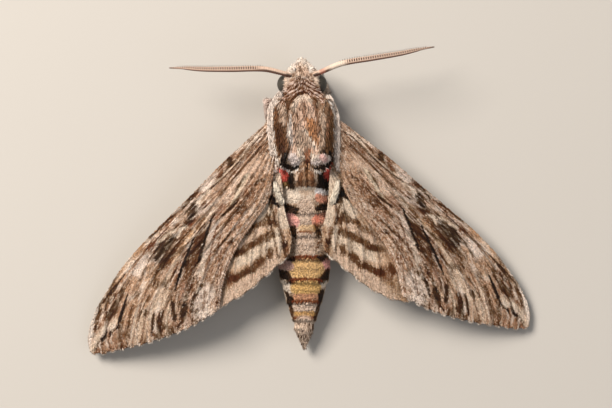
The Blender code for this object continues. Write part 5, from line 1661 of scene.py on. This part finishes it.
# %% The feelers' shape
FEELER_LINES = {
    "left": ((-3.3, 21.1, 9.3), (-4.6, 21.45, 9.75), (-8.0, 22.15, 10.2), (-13.6, 22.1, 10.4),
             (-18.6, 22.15, 9.9), (-22.0, 22.4, 9.3), (-24.3, 22.45, 8.9)),
    "right": ((0.6, 21.2, 9.3), (1.9, 21.7, 9.75), (5.5, 23.1, 10.4), (10.9, 24.0, 10.9),
              (15.6, 24.8, 10.6), (19.6, 25.7, 10.1), (21.4, 26.0, 9.8)),
}
FEELER_THICK, SEGMENTS, PER_SEGMENT = 0.5, 54, 9
STEPS = SEGMENTS * PER_SEGMENT


def feeler_radius(share):
    """The radius at a share of the feeler's length."""
    swell = np.sin(np.pi * np.minimum(share + 0.12, 1.0)) ** 0.45
    return np.maximum(FEELER_THICK * (0.5 + 0.5 * swell) * (1 - 0.6 * share**12), 0.05)


def joint_wave(share):
    """1 at each joint between two segments and -1 at the middle of each."""
    return np.cos(2 * math.pi * share * SEGMENTS)


print("a feeler is", round(float(2 * feeler_radius(0.4)), 2), "mm thick before its middle")

# %% [markdown]
# Pale scales cover the shaft from above. From a quarter of its length on, a dark bead shows at the front of
# each joint, and the rear side is bare and brown, painted darker there as painted shade. The under half is
# painted a little darker too, as painted shade. Towards the root the right one has a paler stretch, as
# worn scales leave it.

# %% The feelers' shafts
BEAD_DARK = "#2A1710"


def feeler_colours(side, along, turned, front):
    """The colour of each point of a shaft; front is 1 on its front side and -1 on its rear one."""
    colours = one_colour("#C6AC9A", len(along))
    # the rear side: its bare brown skin, painted darker as painted shade
    paint(colours, "#5E382C", 0.95 * ramp(-front, 0.4, 0.6))
    beads = ramp(joint_wave(along), -0.5, 0.0) * ramp(along, 0.24, 0.32)
    paint(colours, BEAD_DARK, beads * (1 - ramp(np.abs(front - 0.35), 0.4, 0.52)))
    root_line = (1 - ramp(along, 0.2, 0.34)) * (1 - ramp(np.abs(front + 0.3), 0.18, 0.32))
    paint(colours, BEAD_DARK, 0.8 * root_line)
    paint(colours, BEAD_DARK, 0.6 * ramp(along, 0.93, 1.0))
    # painted shade on the under half of the shaft
    paint(colours, "#A07A68", 0.8 * ramp(-np.sin(turned), 0.1, 0.5))
    if side == "right":
        paint(colours, "#D6C6B6", 0.8 * ramp(along, 0.12, 0.17) * ramp(-along, -0.31, -0.25))
        paint(colours, "#A86453", 0.5 * ramp(along, 0.05, 0.07) * ramp(-along, -0.12, -0.09))
    paint(colours, DARK, 0.8 * (1 - ramp(along, 0.035, 0.06)) * ramp(-np.abs(front + 0.1), -0.7, -0.3))
    return colours


def make_shaft(side, way, line):
    """Builds a shaft along its line; way is -1 on the left and 1 on the right."""
    share = np.linspace(0, 1, len(line))
    joint = 0.5 + 0.5 * joint_wave(share)
    points, faces, along, turned = tube(line, feeler_radius(share) * (1 - 0.12 * joint**4), 24, flat=0.85)
    colours = feeler_colours(side, along, turned, np.cos(turned) * -way)
    make_piece(
        f"feeler_shaft_{side}", points, faces, HAIR_FINISH, (f"antenna_{side}",), colours, 1.0,
        tube_unwrap(along, turned),
    )


# %% [markdown]
# Each segment has a comb of fine stiff hairs on its front side, which the moth smells with. A row of
# tufts on the shaft's front gives each comb.

# %% The feelers' combs
COMB_FROM, COMB_TO, COMB_HAIRS = 0.24, 0.93, 14


def make_comb(side, way, line):
    combs = int((COMB_TO - COMB_FROM) * SEGMENTS)
    at = np.repeat(np.linspace(COMB_FROM, COMB_TO, combs), COMB_HAIRS)
    at = np.clip(at + random.uniform(-0.0012, 0.0012, len(at)), 0, 1)
    i = (at * (len(line) - 1)).astype(int)
    ahead = unit(np.gradient(line, axis=0))[i]
    forward = unit(np.cross([0, 0, 1.0], ahead) * -way)
    forward *= np.sign(forward[:, 1:2])
    tilt = np.tile(np.linspace(-1.1, 0.45, COMB_HAIRS), combs)
    out = forward * np.cos(tilt)[:, None] + np.array([0, 0, 1.0]) * np.sin(tilt)[:, None]
    roots = line[i] + out * (feeler_radius(at) * 0.8)[:, None]
    coat(
        f"feeler_comb_{side}", "antenna", roots, out, ahead, tube_unwrap(at, tilt + 2),
        one_colour("#5A3A2E", len(at)), 0.2 + 0.22 * np.sin(np.pi * at), 0.07,
        lift=0.05, depth=0.5, spread=0.03, sink=0.0, finish=HAIR_FINISH,
    )


for side, way in (("left", -1), ("right", 1)):
    line = smooth_line(FEELER_LINES[side], STEPS + 1)
    make_shaft(side, way, line)
    make_comb(side, way, line)

# %% [markdown]
# ## The tongue
# The tongue and the claws are bare chitin, hardened like horn: smooth, brown and a little glossy, with a
# roughness of 0.38. The tongue is ringed by fine ridges about 0.1 mm apart.


# %% The finish of bare horn
def horny_skin(name, dark, light, ring_mm):
    made, tree, shader = new_material(name)
    place = add_node(tree, "ShaderNodeTexCoord")
    rings = add_node(
        tree, "ShaderNodeTexVoronoi", Vector=place.outputs["Object"], Scale=1 / (ring_mm * MM), Randomness=0.6
    )
    shade = add_node(
        tree, "ShaderNodeMix", {"data_type": "RGBA"},
        Factor=rings.outputs["Distance"], _6=rgba(dark), _7=rgba(light),
    )
    relief = add_node(
        tree, "ShaderNodeBump", Strength=0.3, Distance=0.02 * MM, Height=rings.outputs["Distance"]
    )
    set_inputs(
        tree, shader, Base_Color=shade.outputs[2], Normal=relief.outputs["Normal"], Roughness=0.38, IOR=1.55
    )
    return made


TONGUE_FINISH = horny_skin("horny_tongue_skin", "#3A2217", "#7A4E33", 0.1)
CLAW_FINISH = horny_skin("horny_claw_skin", "#20140E", "#4A2E1E", 0.2)
print(TONGUE_FINISH.name, "and", CLAW_FINISH.name)

# %% [markdown]
# The tongue is a tube of two half pipes zipped together, wound up like a watch spring under the head. Its
# line comes down from the mouth and runs into a flat spiral.

# %% Build the tongue
COIL_CENTRE, COIL_OUTER, COIL_PITCH, COIL_TURNS, COIL_TUBE = (21.4, 2.45), 1.5, 0.92, 1.35, 0.28
FIRST_ANGLE = math.radians(25)
turned = np.linspace(0, COIL_TURNS, 90)
radius, angle = COIL_OUTER - COIL_PITCH * turned, FIRST_ANGLE - 2 * math.pi * turned
coil = columns(HEAD_X, COIL_CENTRE[0] + radius * np.cos(angle), COIL_CENTRE[1] + radius * np.sin(angle))
line = np.concatenate([[(HEAD_X, 22.1, 4.6), (HEAD_X, 22.5, 4.0), (HEAD_X, 22.75, 3.6)], coil])
line = smooth_line(line, 180)
points, faces, _, _ = tube(line, COIL_TUBE * (1 - 0.45 * np.linspace(0, 1, 180) ** 2), 16)
make_piece("tongue_coil", points, faces, TONGUE_FINISH, ("proboscis",))

# %% [markdown]
# ## The legs
# A hawk moth stands on six legs under its body. Each has a thick thigh, a shin, and a foot of five short
# joints. The line of each leg is a hip and five places in millimetres from the body's middle, and a tube
# swept along it swells at the thigh and the shin. Small nicks along the foot hint at its joints.

# %% The legs' lines
LEGS = {
    "foreleg_right": ((1.6, 15.6), (2.0, 16.6, 2.0), (4.1, 18.6, 3.6),
                     (3.4, 20.6, 0.95), (3.0, 21.6, 0.24), (2.9, 22.4, 0.2)),
    "foreleg_left": ((-1.7, 15.4), (-2.8, 15.4, 2.1), (-6.7, 17.0, 4.9),
                     (-6.4, 13.6, 1.2), (-7.0, 12.6, 0.24), (-8.4, 10.2, 0.2)),
    "midleg_right": ((2.3, 11.4), (3.4, 11.6, 2.0), (7.0, 11.4, 4.8),
                     (9.3, 7.6, 1.1), (10.0, 6.6, 0.24), (12.2, 3.6, 0.2)),
    "midleg_left": ((-2.3, 11.4), (-3.3, 11.2, 1.9), (-6.9, 10.4, 4.7),
                     (-9.8, 7.0, 1.1), (-10.6, 6.0, 0.24), (-12.8, 3.0, 0.2)),
    "hindleg_right": ((2.4, 7.6), (3.4, 7.2, 1.7), (6.9, 3.2, 4.6),
                     (8.2, -2.8, 1.1), (8.6, -4.2, 0.24), (9.4, -8.6, 0.2)),
    "hindleg_left": ((-2.4, 7.6), (-3.4, 7.2, 1.7), (-7.0, 3.4, 4.6),
                     (-8.4, -2.4, 1.1), (-8.9, -3.8, 0.24), (-9.9, -8.2, 0.2)),
}
HIP_Z = 2.9
LEG_RADII = (0.8, 0.55, 0.42, 0.36, 0.24, 0.2)
THIGH_SWELL, SHIN_SWELL, FOOT_NICKS = 0.28, 0.14, 4


def leg_line(joints):
    """Points down a leg and the radius at each, with a swollen thigh and shin and a jointed foot."""
    (hip_x, hip_y), *rest = joints
    places = np.array([(hip_x, hip_y, HIP_Z), *rest]) + [BODY_X, 0, 0]
    line, radii = [], []
    for k, (a, b) in enumerate(zip(places, places[1:])):
        for share in np.linspace(0, 1, 14, endpoint=k == 4):
            swell = (THIGH_SWELL if k == 1 else SHIN_SWELL if k == 2 else 0.0) * math.sin(math.pi * share)
            nick = 0.05 * math.cos(2 * math.pi * share * FOOT_NICKS) if k > 2 else 0.0
            line.append(a + (b - a) * share)
            radii.append(LEG_RADII[k] + (LEG_RADII[k + 1] - LEG_RADII[k]) * share + swell - nick * 0.6)
    return places, np.array(line), np.array(radii)


print("a leg's line has", len(leg_line(LEGS["midleg_left"])[1]), "points")

# %% [markdown]
# The skin of a leg has dark rings round the foot. The left foreleg, whose foot shows beside the shoulder
# from above, is paler than the others.


# %% The legs' skin
def leg_skin(name, line, radii):
    points, faces, along, turned = tube(line, radii, 18)
    colours = one_colour("#DCC8BE" if name == "foreleg_left" else "#C3B0A0", len(points))
    paint(colours, BROWN, 0.6 * ramp(noise(along * 40, turned * 1.5, 400), 0.0, 0.8))
    paint(colours, DARK, 0.5 * ramp(np.cos(2 * math.pi * along * 20), 0.6, 1.0) * ramp(along, 0.6, 0.66))
    make_piece(
        f"{name}_skin", points, faces, SKIN_FINISH, (name,), colours, 0.95,
        tube_unwrap(along, turned),
    )


# %% [markdown]
# Close pale scales cover the leg, with longer hair on the thigh. They point down the leg. None grow close
# to the floor, where they would be pressed flat.

# %% The legs' scales
LEG_SCALES, BARE_BELOW = 1200, 0.3


def leg_scales(name, line, radii):
    at, turn = random.uniform(0.02, 0.97, LEG_SCALES), random.uniform(0, 2 * math.pi, LEG_SCALES)
    i = np.clip((at * (len(line) - 1)).astype(int), 0, len(line) - 2)
    share = (at * (len(line) - 1) - i)[:, None]
    centre = line[i] * (1 - share) + line[i + 1] * share
    ahead = unit(line[i + 1] - line[i])
    side = unit(np.cross(ahead, [0, 0, 1.0]) + 1e-6)
    out = side * np.cos(turn)[:, None] + np.cross(side, ahead) * np.sin(turn)[:, None]
    roots = centre + out * radii[i][:, None]
    high = roots[:, 2] > BARE_BELOW
    colours = one_colour("#CDBCAC", LEG_SCALES)
    paint(colours, BROWN, 0.6 * ramp(noise(at * 40, turn * 1.5, 400), 0.0, 0.8))
    paint(colours, "#E3CFC6", 0.85 * (1 - ramp(at, 0.5, 0.65)) * (name == "foreleg_left"))
    length = 0.34 + 0.5 * (1 - ramp(at, 0.3, 0.55))
    coat(
        f"{name}_scales", "leg_scales", roots[high], ahead[high], out[high], tube_unwrap(at, turn)[high],
        colours[high], length[high], 0.16, lift=0.16, bend=0.1, spread=0.2, hairs=True, sink=0.04,
        finish=HAIR_FINISH,
    )


# %% [markdown]
# Each foot ends in two claws, and the shins of the middle and hind legs have two spurs. All are bare horn,
# and each is a short tapering tube that bends down.

# %% Claws and spurs
CLAW_THICK, SPUR_THICK, SPUR_LONG = 0.06, 0.13, 1.4


def leg_horns(name, places):
    """Builds the claws and spurs of one leg from its places."""
    horns = []
    toe, way = places[-1], unit((places[-1] - places[-2])[None])[0]
    across = np.array([way[1], -way[0], 0.0])
    for turn in (-1, 1):
        middle = toe + way * 0.22 + across * 0.16 * turn + [0, 0, 0.08]
        tip = toe + way * 0.42 + across * 0.2 * turn + [0, 0, -0.12]
        horns.append(((toe - way * 0.1, middle, tip), CLAW_THICK))
    if "fore" not in name:
        ankle, shin = places[2] + (places[3] - places[2]) * 0.9, unit((places[3] - places[2])[None])[0]
        for turn in (-1, 1):
            tip = ankle + unit((shin + [0.35 * turn, 0.25 * turn, 0.25])[None])[0] * SPUR_LONG
            tip[2] = max(tip[2], 0.3)
            horns.append(((ankle, (ankle + tip) / 2 + [0, 0, 0.06], tip), SPUR_THICK))
    for k, (horn, thick) in enumerate(horns):
        points, faces, _, _ = tube(smooth_line(horn, 12), thick * np.linspace(1, 0.15, 12), 10)
        points[:, 2] = np.maximum(points[:, 2], 0.005)
        make_piece(f"{name}_horn_{k}", points, faces, CLAW_FINISH)


for leg_name, leg_joints in LEGS.items():
    leg_places, leg_middle, leg_radii = leg_line(leg_joints)
    leg_middle[:, 2] = np.maximum(leg_middle[:, 2], leg_radii + 0.02)
    leg_skin(leg_name, leg_middle, leg_radii)
    leg_scales(leg_name, leg_middle, leg_radii)
    leg_horns(leg_name, leg_places)

# %% [markdown]
# ## The floor, the light and the camera
# The model stands on a plain pale floor of matt card. Paper scatters light evenly, so it is very rough.

# %% Floor
HALF_FLOOR = 1.0
corners = [(x * HALF_FLOOR, y * HALF_FLOOR, 0) for x, y in ((-1, -1), (1, -1), (1, 1), (-1, 1))]
floor_mesh = bpy.data.meshes.new("floor")
floor_mesh.from_pydata(corners, [], [(0, 1, 2, 3)])
floor = bpy.data.objects.new("floor", floor_mesh)
bpy.context.scene.collection.objects.link(floor)
card, card_tree, card_shader = new_material("matt_card")
set_inputs(card_tree, card_shader, Base_Color=rgba("#B9B6B1"), Roughness=0.9)
floor_mesh.materials.append(card)
print("floor", 2 * HALF_FLOOR, "metres wide")

# %% [markdown]
# One large soft light from one side and a weaker one from the other, with a pale sky, shade the moth as a
# cloudy day does. Each lamp stands about two thirds of a metre off and looks at the model.


# %% Light
def softbox(name, place, size, power, code):
    """A square lamp that looks at the model. The size is in metres and the power in watts."""
    lamp = bpy.data.lights.new(name, "AREA")
    lamp.shape = "SQUARE"
    lamp.size = size
    lamp.energy = power
    lamp.color = tuple(linear(code))
    made = bpy.data.objects.new(name, lamp)
    made.location = place
    made.rotation_euler = made.location.normalized().to_track_quat("Z", "Y").to_euler()
    bpy.context.scene.collection.objects.link(made)
    print(name, power, "watts from", round(made.location.length, 2), "metres")


softbox("key_light", (-0.36, 0.3, 0.47), 0.3, 7.4, "#FFF5EA")
softbox("fill_light", (0.4, -0.2, 0.45), 0.5, 0.6, "#FBF8FF")
world = bpy.data.worlds.new("soft_sky")
bpy.context.scene.world = world
world.use_nodes = True
sky = world.node_tree.nodes["Background"]
set_inputs(world.node_tree, sky, Color=rgba("#F4F2EE"), Strength=0.34)

# %% [markdown]
# The camera looks straight down at the moth's back with a long lens, so that the wing tips, which are
# lower, hardly shrink. Standard view shows the colours as they were picked, without a film's curve.

# %% Camera
SENSOR_MM, LENS_MM, CAMERA_HEIGHT_MM = 36.0, 100.0, 302.5
PICTURE_CENTRE = metres((-0.7, -1.05, 0.0))
camera_data = bpy.data.cameras.new("camera")
camera_data.sensor_width = SENSOR_MM
camera_data.lens = LENS_MM
camera_data.clip_start = 0.01
camera = bpy.data.objects.new("camera", camera_data)
camera.location = (PICTURE_CENTRE[0], PICTURE_CENTRE[1], CAMERA_HEIGHT_MM * MM)
bpy.context.scene.collection.objects.link(camera)
bpy.context.scene.camera = camera
bpy.context.scene.view_settings.view_transform = "Standard"
print("the picture is", round(SENSOR_MM / LENS_MM * CAMERA_HEIGHT_MM), "mm wide at the floor")
